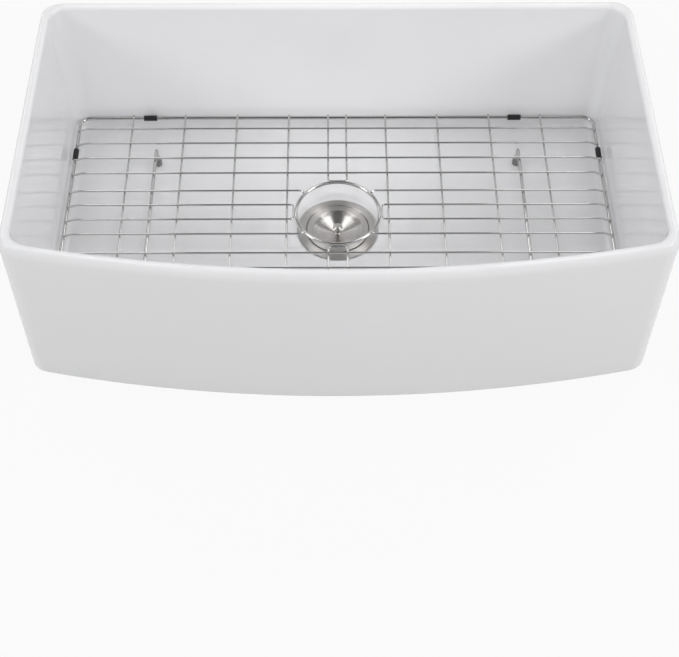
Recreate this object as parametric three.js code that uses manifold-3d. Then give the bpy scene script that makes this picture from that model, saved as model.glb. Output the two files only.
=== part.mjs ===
// Farmhouse sink with a bowed apron front, a wire bottom grid on rubber feet and a basket strainer.
// Millimetres. +X is right, +Y is towards the wall, +Z is up. The apron faces -Y.
// The origin is on the drain axis, in the plane of the underside.

import * as THREE from 'three';
import * as BufferGeometryUtils from 'three/addons/utils/BufferGeometryUtils.js';
import Module from 'manifold-3d';

const wasm = await Module();
wasm.setup();

// ---- Basin sizes ----
const basinWidth = 838.2;
const cornerDepth = 462.4; // back face to the two front corners
const apronBow = 46.5; // how far the middle of the apron stands out past its corners
const basinHeight = 254;
const drainToBack = 230.7;
const wall = 22; // at the floor
const rimWidth = 14.5; // the walls taper to this at the top
const floorThickness = 26.5; // round the drain
const floorRise = 4.5; // from the flat round the drain up to the walls
const drainFlatMargin = 6.8; // flat floor outside the seat of the flange
const outerBackCorner = 30;
const outerFrontCorner = 28;
const innerCorner = 20;
const rimOuterRound = 7; // across the rim
const rimOuterDrop = 16; // from the crown of the rim down to the upright outside
const rimInnerRound = 5.5;
const footRound = 6; // lower outside edge
const floorRound = 16; // floor to wall
const flangeSeatMargin = 2.05; // seat outside the flange
const flangeSeatDepth = 1.2;

// ---- Strainer sizes ----
const flangeRadius = 57.15;
const flangeOverlap = 10.15; // flange past the edge of the drain hole
const flangeEdge = 1.1;
const flangeCrest = 1.2; // crest of the flange above its outer edge
const flangeCrestWidth = 3.3; // crest to the edge of the recess for the lid
const ledgeDepth = 2.5; // below the crest
const ledgeWidth = 5.2;
const ledgeSheet = 1.2;
const strainerWall = 2;
const neckPastNut = 1.7;
const bowlDrop = 14; // from the neck down to the outlet
const outletBore = 19.5;
const outletWall = 3.3;
const outletLength = 27;
const flangeGasketThickness = 1;
const flangeGasketSetback = 1.05; // inside the edge of the flange
const rubberWasherThickness = 3.2;
const rubberWasherOverlap = 6.4; // outside the drain hole
const fibreWasherThickness = 1.2;
const fibreWasherOverlap = 4.9;
const nutHeight = 10;
const nutRootWidth = 7.2; // from the thread to the bottom of the ribs
const nutRibDepth = 1.8;
const nutRibs = 36;
const nutLugs = 4;
const nutLugLength = 5;

// ---- Basket sizes ----
const basketDepth = 37;
const basketSheet = 1.2;
const basketLipWidth = 1.6; // how far the lip reaches over the ledge
const basketTopClearance = 2.5;
const basketTaper = 7.5; // how much narrower the bottom is than the top
const basketHoleRadius = 1.7;
const basketHoleEdge = 5.5; // outer ring of holes to the edge of the bottom
const basketHoleCounts = [4, 8, 14]; // holes in each ring, from the middle outwards

// ---- Lid sizes ----
const lidSheet = 1.1;
const lidRimWidth = 11.25;
const lidDishShoulder = 3.4;
const lidDishDepth = 9;
const lidHubRadius = 7;
const lidGasketThickness = 1.5;
const knobRadius = 7.3;
const knobHeight = 14.4;
const knobFoot = 5.4;
const knobWaist = 2.9;

// ---- Grid sizes ----
const thinWire = 1.5; // radius
const frameWire = 2.75; // radius
const ringWire = 2.5; // radius
const legWire = 2.5; // radius
const gridToWall = 8.1; // middle of the frame wire to the bowl wall
const gridClearHeight = 35; // middle of the long wires above the floor at the feet
const frameCorner = 16;
const ringRadius = 59.75; // middle of the wire
const rowPitchAtRing = 27.8;
const rowsAtRing = 4;
const rowGapPastRing = 35.3;
const rearRows = 4;
const rearFrameGap = 31.2; // last wire to the frame
const frontRows = 6;
const frontCornerGap = 7.5; // from the last wire on the frame's side to the corner
const hairpinWidth = 27.2;
const columnGapPastRing = 59.4;
const columnsEachSide = 4;
const sideFrameGap = 80.65;
const hairpinBend = 5;
const rowEndBend = 9; // length of the slope by which a long wire comes down to the frame
const ringTipLength = 5; // last stretch of a wire that turns in to the ring
const legRearGap = 70.4; // frame wire to the rear foot
const legFrontGap = 70; // frame wire to the front foot
const legBend = 6;
const footRadius = 5.5;
const footHeight = 13;
const footSocket = 9;
const bumperLength = 20;
const bumperWall = 1.25;
const rearLeftBumperGap = 24.8; // from the outer cross wire to the middle of the bumper
const rearRightBumperGap = 38.8;
const frontBumperGap = 42.3;

// ---- Clearances ----
const seatGap = 0.3; // between pieces that touch
const screwGap = 0.4; // between the neck and what is round it
const drainFit = 0.6; // between the strainer and the drain hole
const lidFit = 0.95; // between the lid and the edge of its recess
const gasketFit = 0.25; // between the lip of the basket and the gasket round it

// ---- Facets ----
const apronFacets = 16;
const cornerFacets = 6;
const roundFacets = 4;
const turnedFacets = 36;
const smallTurnedFacets = 12;
const frameFacets = 10;
const frameFrontStretches = 4;
const wireFacets = 8;

// ---- Levels and radii derived from the sizes ----
const drainHoleRadius = flangeRadius - flangeOverlap;
const flangeSeatLevel = floorThickness - flangeSeatDepth;
const flangeUnderside = flangeSeatLevel + seatGap + flangeGasketThickness + seatGap;
const flangeTop = flangeUnderside + flangeEdge + flangeCrest;
const ledgeLevel = flangeTop - ledgeDepth;
const ledgeRadius = drainHoleRadius - drainFit - ledgeSheet;
const strainerBore = ledgeRadius - ledgeWidth;
const neckRadius = strainerBore + strainerWall;
const rubberWasherTop = -seatGap;
const fibreWasherTop = rubberWasherTop - rubberWasherThickness - seatGap;
const nutTop = fibreWasherTop - fibreWasherThickness - seatGap;
const neckBottom = nutTop - nutHeight - neckPastNut;
const outletTop = neckBottom - bowlDrop;
const outletBottom = outletTop - outletLength;
const outletRadius = outletBore + outletWall;
const flangeSeatRadius = flangeRadius + flangeSeatMargin;
const lidRadius = ledgeRadius - lidFit;
const basketLipRadius = strainerBore + basketLipWidth;
const basketShoulder = strainerBore - basketTopClearance;
const basketBottomRadius = basketShoulder - basketTaper;
const lidUnderside = ledgeLevel + seatGap + lidGasketThickness + seatGap;
const hubLevel = lidUnderside - lidDishDepth;

// ---- Geometry helpers ----

// Shares equal corners and turns a closed surface so that its faces point outwards.
function closedSurface(source) {
  const bare = new THREE.BufferGeometry();
  bare.setAttribute('position', source.getAttribute('position').clone());
  if (source.index) {
    bare.setIndex(source.index.clone());
  }
  const merged = BufferGeometryUtils.mergeVertices(bare, 1e-4);
  const position = merged.getAttribute('position');
  const index = Array.from(merged.index.array);
  const kept = [];
  let volume = 0;
  const corners = [new THREE.Vector3(), new THREE.Vector3(), new THREE.Vector3()];
  for (let i = 0; i < index.length; i += 3) {
    const [a, b, c] = [index[i], index[i + 1], index[i + 2]];
    if (a !== b && b !== c && c !== a) {
      kept.push(a, b, c);
      corners[0].fromBufferAttribute(position, a);
      corners[1].fromBufferAttribute(position, b);
      corners[2].fromBufferAttribute(position, c);
      volume += corners[0].dot(corners[1].cross(corners[2])) / 6;
    }
  }
  if (volume < 0) {
    for (let i = 0; i < kept.length; i += 3) {
      [kept[i], kept[i + 1]] = [kept[i + 1], kept[i]];
    }
  }
  merged.setIndex(kept);
  return merged;
}

function toSolid(geometry) {
  const surface = closedSurface(geometry);
  const vertProperties = Float32Array.from(surface.getAttribute('position').array);
  const triVerts = Uint32Array.from(surface.index.array);
  return new wasm.Manifold(new wasm.Mesh({ numProp: 3, vertProperties, triVerts }));
}

function toGeometry(solid) {
  const mesh = solid.getMesh();
  const geometry = new THREE.BufferGeometry();
  geometry.setAttribute('position', new THREE.BufferAttribute(Float32Array.from(mesh.vertProperties), 3));
  geometry.setIndex(Array.from(mesh.triVerts));
  return geometry;
}

// Skins a row of equal level rings of points, and closes both ends.
function loft(rings) {
  const count = rings[0].length;
  const positions = rings.flat().flatMap((point) => [point.x, point.y, point.z]);
  const index = [];
  for (let band = 0; band < rings.length - 1; band += 1) {
    const lower = band * count;
    const upper = lower + count;
    for (let i = 0; i < count; i += 1) {
      const next = (i + 1) % count;
      index.push(lower + i, lower + next, upper + next);
      index.push(lower + i, upper + next, upper + i);
    }
  }
  const last = (rings.length - 1) * count;
  const outline = rings[0].map((point) => new THREE.Vector2(point.x, point.y));
  for (const [a, b, c] of THREE.ShapeUtils.triangulateShape(outline, [])) {
    index.push(a, c, b);
    index.push(last + a, last + b, last + c);
  }
  const geometry = new THREE.BufferGeometry();
  geometry.setAttribute('position', new THREE.Float32BufferAttribute(positions, 3));
  geometry.setIndex(index);
  return geometry;
}

// Revolves pairs of [radius, level] about the vertical axis.
function turned(profile, facets = turnedFacets) {
  const points = profile.map(([radius, level]) => new THREE.Vector2(radius, level));
  return new THREE.LatheGeometry(points, facets).rotateX(Math.PI / 2);
}

function turnedRing(innerRadius, outerRadius, lower, upper, facets = turnedFacets) {
  return turned(
    [
      [innerRadius, lower],
      [outerRadius, lower],
      [outerRadius, upper],
      [innerRadius, upper],
      [innerRadius, lower],
    ],
    facets,
  );
}

function circlePoints(radius, count) {
  const points = [];
  for (let i = 0; i < count; i += 1) {
    const angle = ((i + 0.5) / count) * 2 * Math.PI;
    points.push(new THREE.Vector2(radius * Math.cos(angle), radius * Math.sin(angle)));
  }
  return points;
}

// A path that an extrusion follows from station to station, so that bends fall where they are set.
// Its ends are cut square, or to match what leads in from the station before and out to the one after.
class StationCurve extends THREE.Curve {
  constructor(stations, before = stations[0], after = stations[stations.length - 1]) {
    super();
    this.stations = stations;
    this.before = before;
    this.after = after;
  }

  getPoint(t, target = new THREE.Vector3()) {
    const place = t * (this.stations.length - 1);
    const index = Math.min(Math.floor(place + 1e-6), this.stations.length - 2);
    return target.lerpVectors(this.stations[index], this.stations[index + 1], place - index);
  }

  getPointAt(u, target) {
    return this.getPoint(u, target);
  }

  getTangentAt(u, target = new THREE.Vector3()) {
    const last = this.stations.length - 1;
    const index = Math.round(u * last);
    const here = this.stations[index];
    const arriving = here.clone().sub(index > 0 ? this.stations[index - 1] : this.before).normalize();
    const leaving = (index < last ? this.stations[index + 1] : this.after).clone().sub(here).normalize();
    return target.copy(arriving).add(leaving).normalize();
  }
}

// Turns each inner corner of a run of points into a bend.
function bentPath(points, bend, steps = 3) {
  const stations = [points[0]];
  for (let i = 1; i < points.length - 1; i += 1) {
    const corner = points[i];
    const before = points[i - 1].clone().sub(corner);
    const after = points[i + 1].clone().sub(corner);
    const reach = Math.min(bend, before.length() * 0.49, after.length() * 0.49);
    const start = corner.clone().add(before.setLength(reach));
    const end = corner.clone().add(after.setLength(reach));
    stations.push(...new THREE.QuadraticBezierCurve3(start, corner, end).getPoints(steps));
  }
  stations.push(points[points.length - 1]);
  return stations;
}

function wire(stations, radius, facets = wireFacets, before = undefined, after = undefined) {
  return new THREE.ExtrudeGeometry(new THREE.Shape(circlePoints(radius, facets)), {
    steps: stations.length - 1,
    bevelEnabled: false,
    extrudePath: new StationCurve(stations, before, after),
  });
}

const at = (x, y, z) => new THREE.Vector3(x, y, z);

// ---- Plan of the basin: straight back and sides, and a front on one large arc ----
const apronRadius = ((basinWidth / 2) ** 2 + apronBow ** 2) / (2 * apronBow);
const apronCentre = drainToBack - cornerDepth - apronBow + apronRadius;

// How far forward the arc lies at a distance from the middle, on a line set in from the apron.
function frontLine(inset, x) {
  return apronCentre - Math.sqrt((apronRadius - inset) ** 2 - x * x);
}

function arcPoints(x, y, radius, from, to, steps, withEnd = true) {
  const curve = new THREE.EllipseCurve(x, y, radius, radius, from, to, false);
  const points = curve.getPoints(steps);
  return withEnd ? points : points.slice(0, -1);
}

function planOutline(inset, backCorner, frontCorner) {
  const half = basinWidth / 2 - inset;
  const back = drainToBack - inset;
  const arc = apronRadius - inset;
  const cornerX = half - frontCorner;
  const cornerY = apronCentre - Math.sqrt((arc - frontCorner) ** 2 - cornerX ** 2);
  const turn = Math.atan2(cornerY - apronCentre, cornerX);
  return [
    ...arcPoints(0, apronCentre, arc, -Math.PI - turn, turn, apronFacets, false),
    ...arcPoints(cornerX, cornerY, frontCorner, turn, 0, cornerFacets),
    ...arcPoints(half - backCorner, back - backCorner, backCorner, 0, Math.PI / 2, cornerFacets),
    ...arcPoints(backCorner - half, back - backCorner, backCorner, Math.PI / 2, Math.PI, cornerFacets),
    ...arcPoints(-cornerX, cornerY, frontCorner, Math.PI, Math.PI - turn, cornerFacets, false),
  ];
}

function planRing(inset, backCorner, frontCorner, level, scale = 1) {
  return planOutline(inset, Math.max(backCorner, 1), Math.max(frontCorner, 1)).map((point) =>
    at(point.x * scale, point.y * scale, level),
  );
}

const bowlRing = (inset, level, scale = 1) =>
  planRing(inset, innerCorner + wall - inset, innerCorner + wall - inset, level, scale);

// ---- Floor: a flat round the drain, then a slight fall from the walls ----
const floorEdgeInset = wall + floorRound;
const floorEdgeLevel = floorThickness + floorRise;
const floorFlatScale = (flangeSeatRadius + drainFlatMargin) / (drainToBack - floorEdgeInset);

function floorLevelAt(x, y) {
  const outline = planOutline(floorEdgeInset, innerCorner, innerCorner);
  let share = 0;
  for (let i = 0; i < outline.length; i += 1) {
    const a = outline[i];
    const b = outline[(i + 1) % outline.length];
    const normal = new THREE.Vector2(b.y - a.y, a.x - b.x);
    share = Math.max(share, normal.dot(new THREE.Vector2(x, y)) / normal.dot(a));
  }
  const climb = Math.max(share - floorFlatScale, 0) / (1 - floorFlatScale);
  return floorThickness + floorRise * climb;
}

// Each rounded edge of the rim takes at most about half of its width.
const rimOuter = Math.min(rimOuterRound, rimWidth * 0.5);
const rimInner = Math.min(rimInnerRound, rimWidth * 0.4);

function makeBasin() {
  const outside = [];
  for (let i = 0; i <= roundFacets; i += 1) {
    const angle = (i / roundFacets) * (Math.PI / 2);
    const inset = footRound * (1 - Math.sin(angle));
    const level = footRound * (1 - Math.cos(angle));
    outside.push(planRing(inset, outerBackCorner - inset, outerFrontCorner - inset, level));
  }
  for (let i = 0; i <= roundFacets; i += 1) {
    const angle = (i / roundFacets) * (Math.PI / 2);
    const inset = rimOuter * (1 - Math.cos(angle));
    const level = basinHeight - rimOuterDrop * (1 - Math.sin(angle));
    outside.push(planRing(inset, outerBackCorner - inset, outerFrontCorner - inset, level));
  }
  const bowl = [bowlRing(floorEdgeInset, floorThickness, floorFlatScale)];
  for (let i = 0; i <= roundFacets; i += 1) {
    const angle = (i / roundFacets) * (Math.PI / 2);
    const inset = wall + floorRound * (1 - Math.sin(angle));
    bowl.push(bowlRing(inset, floorEdgeLevel + floorRound * (1 - Math.cos(angle))));
  }
  for (let i = 0; i <= roundFacets; i += 1) {
    const angle = (i / roundFacets) * (Math.PI / 2);
    const inset = rimWidth - rimInner * (1 - Math.cos(angle));
    bowl.push(bowlRing(inset, basinHeight - rimInner * (1 - Math.sin(angle))));
  }
  bowl.push(bowlRing(rimWidth - rimInner, basinHeight + wall));
  const drain = turned([
    [0, -wall],
    [drainHoleRadius, -wall],
    [drainHoleRadius, flangeSeatLevel],
    [flangeSeatRadius, flangeSeatLevel],
    [flangeSeatRadius, floorThickness + wall],
    [0, floorThickness + wall],
  ]);
  return toGeometry(toSolid(loft(outside)).subtract(toSolid(loft(bowl))).subtract(toSolid(drain)));
}

// ---- Strainer ----
function makeStrainerBody() {
  const edgeTop = flangeUnderside + flangeEdge;
  const ledgeUnder = ledgeLevel - ledgeSheet;
  const ledgeOuter = ledgeRadius + ledgeSheet;
  return turned([
    [flangeRadius, flangeUnderside],
    [flangeRadius, edgeTop - 0.3],
    [flangeRadius - 0.5, edgeTop],
    [ledgeRadius + flangeCrestWidth, flangeTop],
    [ledgeRadius + 1, flangeTop],
    [ledgeRadius, flangeTop - 0.8],
    [ledgeRadius, ledgeLevel],
    [strainerBore + 0.6, ledgeLevel],
    [strainerBore, ledgeLevel - 0.6],
    [strainerBore, neckBottom],
    [strainerBore - 3.5, neckBottom - bowlDrop * 0.45],
    [outletBore + 1.5, outletTop + 1],
    [outletBore, outletTop - 0.5],
    [outletBore, outletBottom],
    [outletRadius, outletBottom],
    [outletRadius, outletTop - strainerWall],
    [strainerBore - 2.5, neckBottom - bowlDrop * 0.45 - strainerWall],
    [neckRadius, neckBottom - strainerWall / 2],
    [neckRadius, ledgeUnder],
    [ledgeOuter, ledgeUnder],
    [ledgeOuter, flangeUnderside],
    [flangeRadius, flangeUnderside],
  ]);
}

function makeFlangeGasket() {
  const inner = drainHoleRadius + drainFit;
  const outer = flangeRadius - flangeGasketSetback;
  const lower = flangeSeatLevel + seatGap;
  return turnedRing(inner, outer, lower, lower + flangeGasketThickness);
}

const washerInner = neckRadius + screwGap;

function makeRubberWasher() {
  const outer = drainHoleRadius + rubberWasherOverlap;
  return turnedRing(washerInner, outer, rubberWasherTop - rubberWasherThickness, rubberWasherTop);
}

function makeFibreWasher() {
  const outer = drainHoleRadius + fibreWasherOverlap;
  return turnedRing(washerInner, outer, fibreWasherTop - fibreWasherThickness, fibreWasherTop);
}

// Ribbed all round, with lugs for a spanner in line with some of the ribs.
function makeLockNut() {
  const rootRadius = washerInner + nutRootWidth;
  const ribRadius = rootRadius + nutRibDepth;
  const ribsPerLug = nutRibs / nutLugs;
  const outline = [];
  for (let rib = 0; rib < nutRibs; rib += 1) {
    const reach = rib % ribsPerLug === 0 ? ribRadius + nutLugLength : ribRadius;
    const corners = [
      [rootRadius, 0.05],
      [reach, 0.2],
      [reach, 0.6],
      [rootRadius, 0.75],
    ];
    for (const [radius, share] of corners) {
      const angle = ((rib + share) / nutRibs) * 2 * Math.PI;
      outline.push(new THREE.Vector2(radius * Math.cos(angle), radius * Math.sin(angle)));
    }
  }
  const shape = new THREE.Shape(outline);
  shape.holes.push(new THREE.Path(circlePoints(washerInner, turnedFacets)));
  const geometry = new THREE.ExtrudeGeometry(shape, { depth: nutHeight, bevelEnabled: false });
  return geometry.translate(0, 0, nutTop - nutHeight);
}

function makeBasket() {
  const lipLower = ledgeLevel + seatGap;
  const lipUpper = lipLower + basketSheet;
  const bottom = lipLower - basketDepth;
  const cup = toSolid(
    turned([
      [0, bottom],
      [basketBottomRadius, bottom],
      [basketBottomRadius + 1.1, bottom + 1.4],
      [basketShoulder, lipLower - 3],
      [basketShoulder, lipLower],
      [basketLipRadius, lipLower],
      [basketLipRadius, lipUpper - 0.4],
      [basketLipRadius - 0.5, lipUpper],
      [basketShoulder - 0.4, lipUpper],
      [basketShoulder - basketSheet, lipUpper - 0.9],
      [basketShoulder - basketSheet, lipLower - 3.2],
      [basketBottomRadius, bottom + basketSheet + 1.1],
      [basketBottomRadius - 1, bottom + basketSheet],
      [0, bottom + basketSheet],
    ]),
  );
  const holes = [];
  basketHoleCounts.forEach((count, ring) => {
    const radius = ((basketBottomRadius - basketHoleEdge) * (ring + 1)) / basketHoleCounts.length;
    for (let i = 0; i < count; i += 1) {
      const angle = ((i + 0.5) / count) * 2 * Math.PI;
      const hole = new THREE.CylinderGeometry(basketHoleRadius, basketHoleRadius, 4 * basketSheet, 8);
      hole.rotateX(Math.PI / 2);
      hole.translate(radius * Math.cos(angle), radius * Math.sin(angle), bottom + basketSheet / 2);
      holes.push(toSolid(hole));
    }
  });
  return toGeometry(holes.reduce((solid, hole) => solid.subtract(hole), cup));
}

// ---- Lid ----
function makeLidPlate() {
  const rimTop = lidUnderside + lidSheet;
  const rimInner = lidRadius - lidRimWidth;
  const shoulder = rimInner - 3.6;
  const dish = [
    [rimInner, 0],
    [rimInner - 1.4, -0.7],
    [shoulder, -lidDishShoulder],
    [shoulder - 2.2, -lidDishShoulder - 1.2],
    [(shoulder + lidHubRadius) / 2, -(lidDishShoulder + lidDishDepth) / 2 - 1],
    [lidHubRadius + 2, 0.35 - lidDishDepth],
    [lidHubRadius, -lidDishDepth],
  ];
  const top = dish.map(([radius, drop]) => [radius, lidUnderside + drop]);
  const under = dish.slice(1).map(([radius, drop]) => [radius + 0.35, lidUnderside + drop - lidSheet]);
  return turned([
    [0, hubLevel],
    ...top.reverse(),
    [rimInner + 1.2, rimTop],
    [lidRadius - 0.4, rimTop],
    [lidRadius, rimTop - 0.4],
    [lidRadius, lidUnderside],
    [rimInner + 1.6, lidUnderside],
    ...under,
    [0, hubLevel - lidSheet],
  ]);
}

function makeLidKnob() {
  const base = hubLevel + seatGap;
  const tip = base + knobHeight;
  return turned(
    [
      [0, base],
      [knobFoot, base],
      [knobFoot - 0.4, base + 1],
      [knobWaist + 0.6, base + 2.4],
      [knobWaist, base + 4.6],
      [knobWaist + 0.3, tip - 5.8],
      [knobRadius - 2.4, tip - 3.8],
      [knobRadius - 0.2, tip - 2.6],
      [knobRadius, tip - 1.6],
      [knobRadius - 0.9, tip - 0.7],
      [knobRadius * 0.45, tip],
      [0, tip],
    ],
    24,
  );
}

function makeLidGasket() {
  const lower = ledgeLevel + seatGap;
  return turnedRing(basketLipRadius + gasketFit, lidRadius - 0.2, lower, lower + lidGasketThickness);
}

// ---- Grid: levels, rows and columns ----
const frameInset = wall + gridToWall;
const frameHalf = basinWidth / 2 - frameInset;
const frameRear = drainToBack - frameInset;
const innerColumn = hairpinWidth / 2 + columnGapPastRing;
const outerColumn = frameHalf - sideFrameGap;
const columnPitch = (outerColumn - innerColumn) / (columnsEachSide - 1);
// Each leg wire runs midway between the two outer cross wires.
const legX = outerColumn - columnPitch / 2;
const legRear = frameRear - legRearGap;
const legFront = frontLine(frameInset, legX) + legFrontGap;

function footLevel(y) {
  const reach = footRadius;
  const spots = [
    [legX, y],
    [legX + reach, y],
    [legX, y + reach],
    [legX, y - reach],
    [legX + reach, y + reach],
    [legX + reach, y - reach],
  ];
  return Math.max(...spots.map(([x, spot]) => floorLevelAt(x, spot))) + seatGap;
}

const rowLevel = Math.max(footLevel(legRear), footLevel(legFront)) + gridClearHeight;
const columnLevel = rowLevel - 2 * thinWire - seatGap;
const legLevel = rowLevel - thinWire - seatGap - legWire;
const frameLevel = columnLevel - thinWire - seatGap - frameWire;
const ringLevel = (rowLevel + columnLevel) / 2;
// Where the middle of a thin wire lies when it touches the ring from outside.
const ringTouch = ringRadius + Math.sqrt((ringWire + thinWire + seatGap) ** 2 - (rowLevel - ringLevel) ** 2);

const rowEnd = frameHalf + 1;
const columnX = [];
for (let i = 0; i < columnsEachSide; i += 1) {
  columnX.push(innerColumn + i * columnPitch);
}

const ringRowY = [];
for (let i = 0; i < rowsAtRing; i += 1) {
  ringRowY.push((i - (rowsAtRing - 1) / 2) * rowPitchAtRing);
}
const outerRingRow = ringRowY[rowsAtRing - 1];
const innerRingRow = ringRowY[rowsAtRing / 2];
const nearRow = outerRingRow + rowGapPastRing;
const rearRowPitch = (frameRear - rearFrameGap - nearRow) / (rearRows - 1);
// The sides of the frame are straight as far as this.
const frameSideEnd = frontLine(frameInset + frameCorner, frameHalf - frameCorner);
// All the front rows but one end on the sides of the frame, the last of them close to the corner.
const frontRowPitch = (-frameSideEnd - frontCornerGap - nearRow) / (frontRows - 2);
const fullRowY = [];
for (let i = rearRows - 1; i >= 0; i -= 1) {
  fullRowY.push(nearRow + i * rearRowPitch);
}
for (let i = 0; i < frontRows; i += 1) {
  fullRowY.push(-nearRow - i * frontRowPitch);
}

// The frame is one bent wire. It is laid out in stretches that meet face to face: the bowed front, each
// side with its two corners, and the rear.
function frameStretches() {
  const outline = planOutline(frameInset, frameCorner, frameCorner).map(({ x, y }) => at(x, y, frameLevel));
  const station = (i) => outline[(i + outline.length) % outline.length];
  const stretches = [];
  for (let i = 1; i <= frameFrontStretches; i += 1) {
    stretches.push([`front_${i}`, apronFacets / frameFrontStretches]);
  }
  stretches.push(['right', 2 * cornerFacets + 1], ['rear', 1], ['left', 2 * cornerFacets + 1]);
  let start = 0;
  return stretches.map(([name, facets]) => {
    const stations = [];
    for (let i = start; i <= start + facets; i += 1) {
      stations.push(station(i).clone());
    }
    const before = station(start - 1);
    const after = station(start + facets + 1);
    const lead = new StationCurve(stations, before, after);
    stations[0].addScaledVector(lead.getTangentAt(0), seatGap / 2);
    stations[facets].addScaledVector(lead.getTangentAt(1), -seatGap / 2);
    start += facets;
    return [`grid_frame_${name}`, wire(stations, frameWire, frameFacets, before, after)];
  });
}

function makeRing() {
  return new THREE.TorusGeometry(ringRadius, ringWire, wireFacets, 36).translate(0, 0, ringLevel);
}

// The end of a long wire: down off the row level on to the side of the frame.
function rowEndPoints(side, y) {
  return [
    at(side * rowEnd, y, columnLevel),
    at(side * (frameHalf - 4), y, columnLevel),
    at(side * (frameHalf - 4 - rowEndBend), y, rowLevel),
  ];
}

function makeFullRow(y) {
  if (y < frameSideEnd) {
    const reach = outerColumn + thinWire;
    return wire([at(-reach, y, rowLevel), at(reach, y, rowLevel)], thinWire);
  }
  return wire(bentPath([...rowEndPoints(-1, y), ...rowEndPoints(1, y).reverse()], 3, 1), thinWire);
}

// A long wire that stops at the ring and turns in to meet it.
function makeShortRow(side, y) {
  const tipRadius = ringRadius + ringWire + seatGap;
  const turnRadius = tipRadius + ringTipLength;
  const turn = Math.asin(Math.abs(y) / turnRadius);
  const front = Math.sign(y);
  const corner = at(side * turnRadius * Math.cos(turn), y, rowLevel);
  const tip = at(side * tipRadius * Math.cos(turn), front * tipRadius * Math.sin(turn), rowLevel);
  return wire(bentPath([...rowEndPoints(side, y), corner, tip], 3, 1), thinWire);
}

function makeSideHairpin(side) {
  const end = side * ringTouch;
  const path = [
    ...rowEndPoints(side, innerRingRow),
    at(end, innerRingRow, rowLevel),
    at(end, -innerRingRow, rowLevel),
    ...rowEndPoints(side, -innerRingRow).reverse(),
  ];
  return wire(bentPath(path, hairpinBend), thinWire);
}

function makeColumn(x) {
  return wire(
    [at(x, frameRear + 1, columnLevel), at(x, frontLine(frameInset, x) - 1, columnLevel)],
    thinWire,
  );
}

function makeEndHairpin(front, farEnd) {
  const half = hairpinWidth / 2;
  const near = front * ringTouch;
  const path = [
    at(-half, farEnd, columnLevel),
    at(-half, near, columnLevel),
    at(half, near, columnLevel),
    at(half, farEnd, columnLevel),
  ];
  return wire(bentPath(path, hairpinBend), thinWire);
}

// ---- Grid: legs, feet and bumpers ----
const socketFloor = footHeight - footSocket;

function makeLeg(side) {
  const x = side * legX;
  const path = [
    at(x, legRear, footLevel(legRear) + socketFloor + seatGap),
    at(x, legRear, legLevel),
    at(x, legFront, legLevel),
    at(x, legFront, footLevel(legFront) + socketFloor + seatGap),
  ];
  return wire(bentPath(path, legBend, 4), legWire);
}

function makeFoot() {
  return turned(
    [
      [0, 0],
      [footRadius - 0.9, 0],
      [footRadius, 0.9],
      [footRadius, footHeight - 1],
      [footRadius - 0.9, footHeight],
      [legWire + seatGap, footHeight],
      [legWire + seatGap, socketFloor],
      [0, socketFloor],
    ],
    smallTurnedFacets,
  );
}

function makeBumper() {
  const bore = frameWire + seatGap;
  const shape = new THREE.Shape(circlePoints(bore + bumperWall, 12));
  shape.holes.push(new THREE.Path(circlePoints(bore, 12)));
  const sleeve = new THREE.ExtrudeGeometry(shape, { depth: bumperLength, bevelEnabled: false });
  return sleeve.translate(0, 0, -bumperLength / 2).rotateX(Math.PI / 2);
}

// Each bumper on a side sits midway between two long wires.
const sideBumperRear = nearRow + 1.5 * rearRowPitch;
const sideBumperFront = -nearRow - 2.5 * frontRowPitch;

function bumperPlaces() {
  const frontBumper = outerColumn - frontBumperGap;
  const places = {
    bumper_rear_left: [rearLeftBumperGap - outerColumn, frameRear, Math.PI / 2],
    bumper_rear_right: [outerColumn - rearRightBumperGap, frameRear, Math.PI / 2],
    bumper_left_rear: [-frameHalf, sideBumperRear, 0],
    bumper_left_front: [-frameHalf, sideBumperFront, 0],
    bumper_right_rear: [frameHalf, sideBumperRear, 0],
    bumper_right_front: [frameHalf, sideBumperFront, 0],
  };
  const slope = Math.asin(frontBumper / (apronRadius - frameInset));
  const y = frontLine(frameInset, frontBumper);
  places.bumper_front_left = [-frontBumper, y, Math.PI / 2 - slope];
  places.bumper_front_right = [frontBumper, y, Math.PI / 2 + slope];
  return places;
}

// ---- Materials ----
const materials = {
  glaze: { color: 0xeeeef0, roughness: 0.12, metalness: 0 },
  brushedSteel: { color: 0xb4b1ac, roughness: 0.35, metalness: 1 },
  brightSteel: { color: 0xbfc0c0, roughness: 0.2, metalness: 1 },
  blackRubber: { color: 0x161617, roughness: 0.7, metalness: 0 },
  greyRubber: { color: 0x4a4a4c, roughness: 0.6, metalness: 0 },
  fibre: { color: 0xb9a27c, roughness: 0.9, metalness: 0 },
  castMetal: { color: 0x9a9a9a, roughness: 0.45, metalness: 1 },
};

const sink = new THREE.Group();

function addPiece(parent, name, geometry, material) {
  const surface = closedSurface(geometry);
  surface.computeVertexNormals();
  const mesh = new THREE.Mesh(surface, new THREE.MeshStandardMaterial(materials[material]));
  mesh.name = name;
  parent.add(mesh);
  return mesh;
}

// ---- Assembly ----
addPiece(sink, 'sink_basin', makeBasin(), 'glaze');

const strainer = new THREE.Group();
addPiece(strainer, 'strainer_body', makeStrainerBody(), 'brushedSteel');
addPiece(strainer, 'flange_gasket', makeFlangeGasket(), 'blackRubber');
addPiece(strainer, 'rubber_washer', makeRubberWasher(), 'blackRubber');
addPiece(strainer, 'fibre_washer', makeFibreWasher(), 'fibre');
addPiece(strainer, 'lock_nut', makeLockNut(), 'castMetal');
addPiece(strainer, 'strainer_basket', makeBasket(), 'brushedSteel');
sink.add(strainer);

const lid = new THREE.Group();
addPiece(lid, 'lid_plate', makeLidPlate(), 'brushedSteel');
addPiece(lid, 'lid_knob', makeLidKnob(), 'brushedSteel');
addPiece(lid, 'lid_gasket', makeLidGasket(), 'blackRubber');
sink.add(lid);

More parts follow.
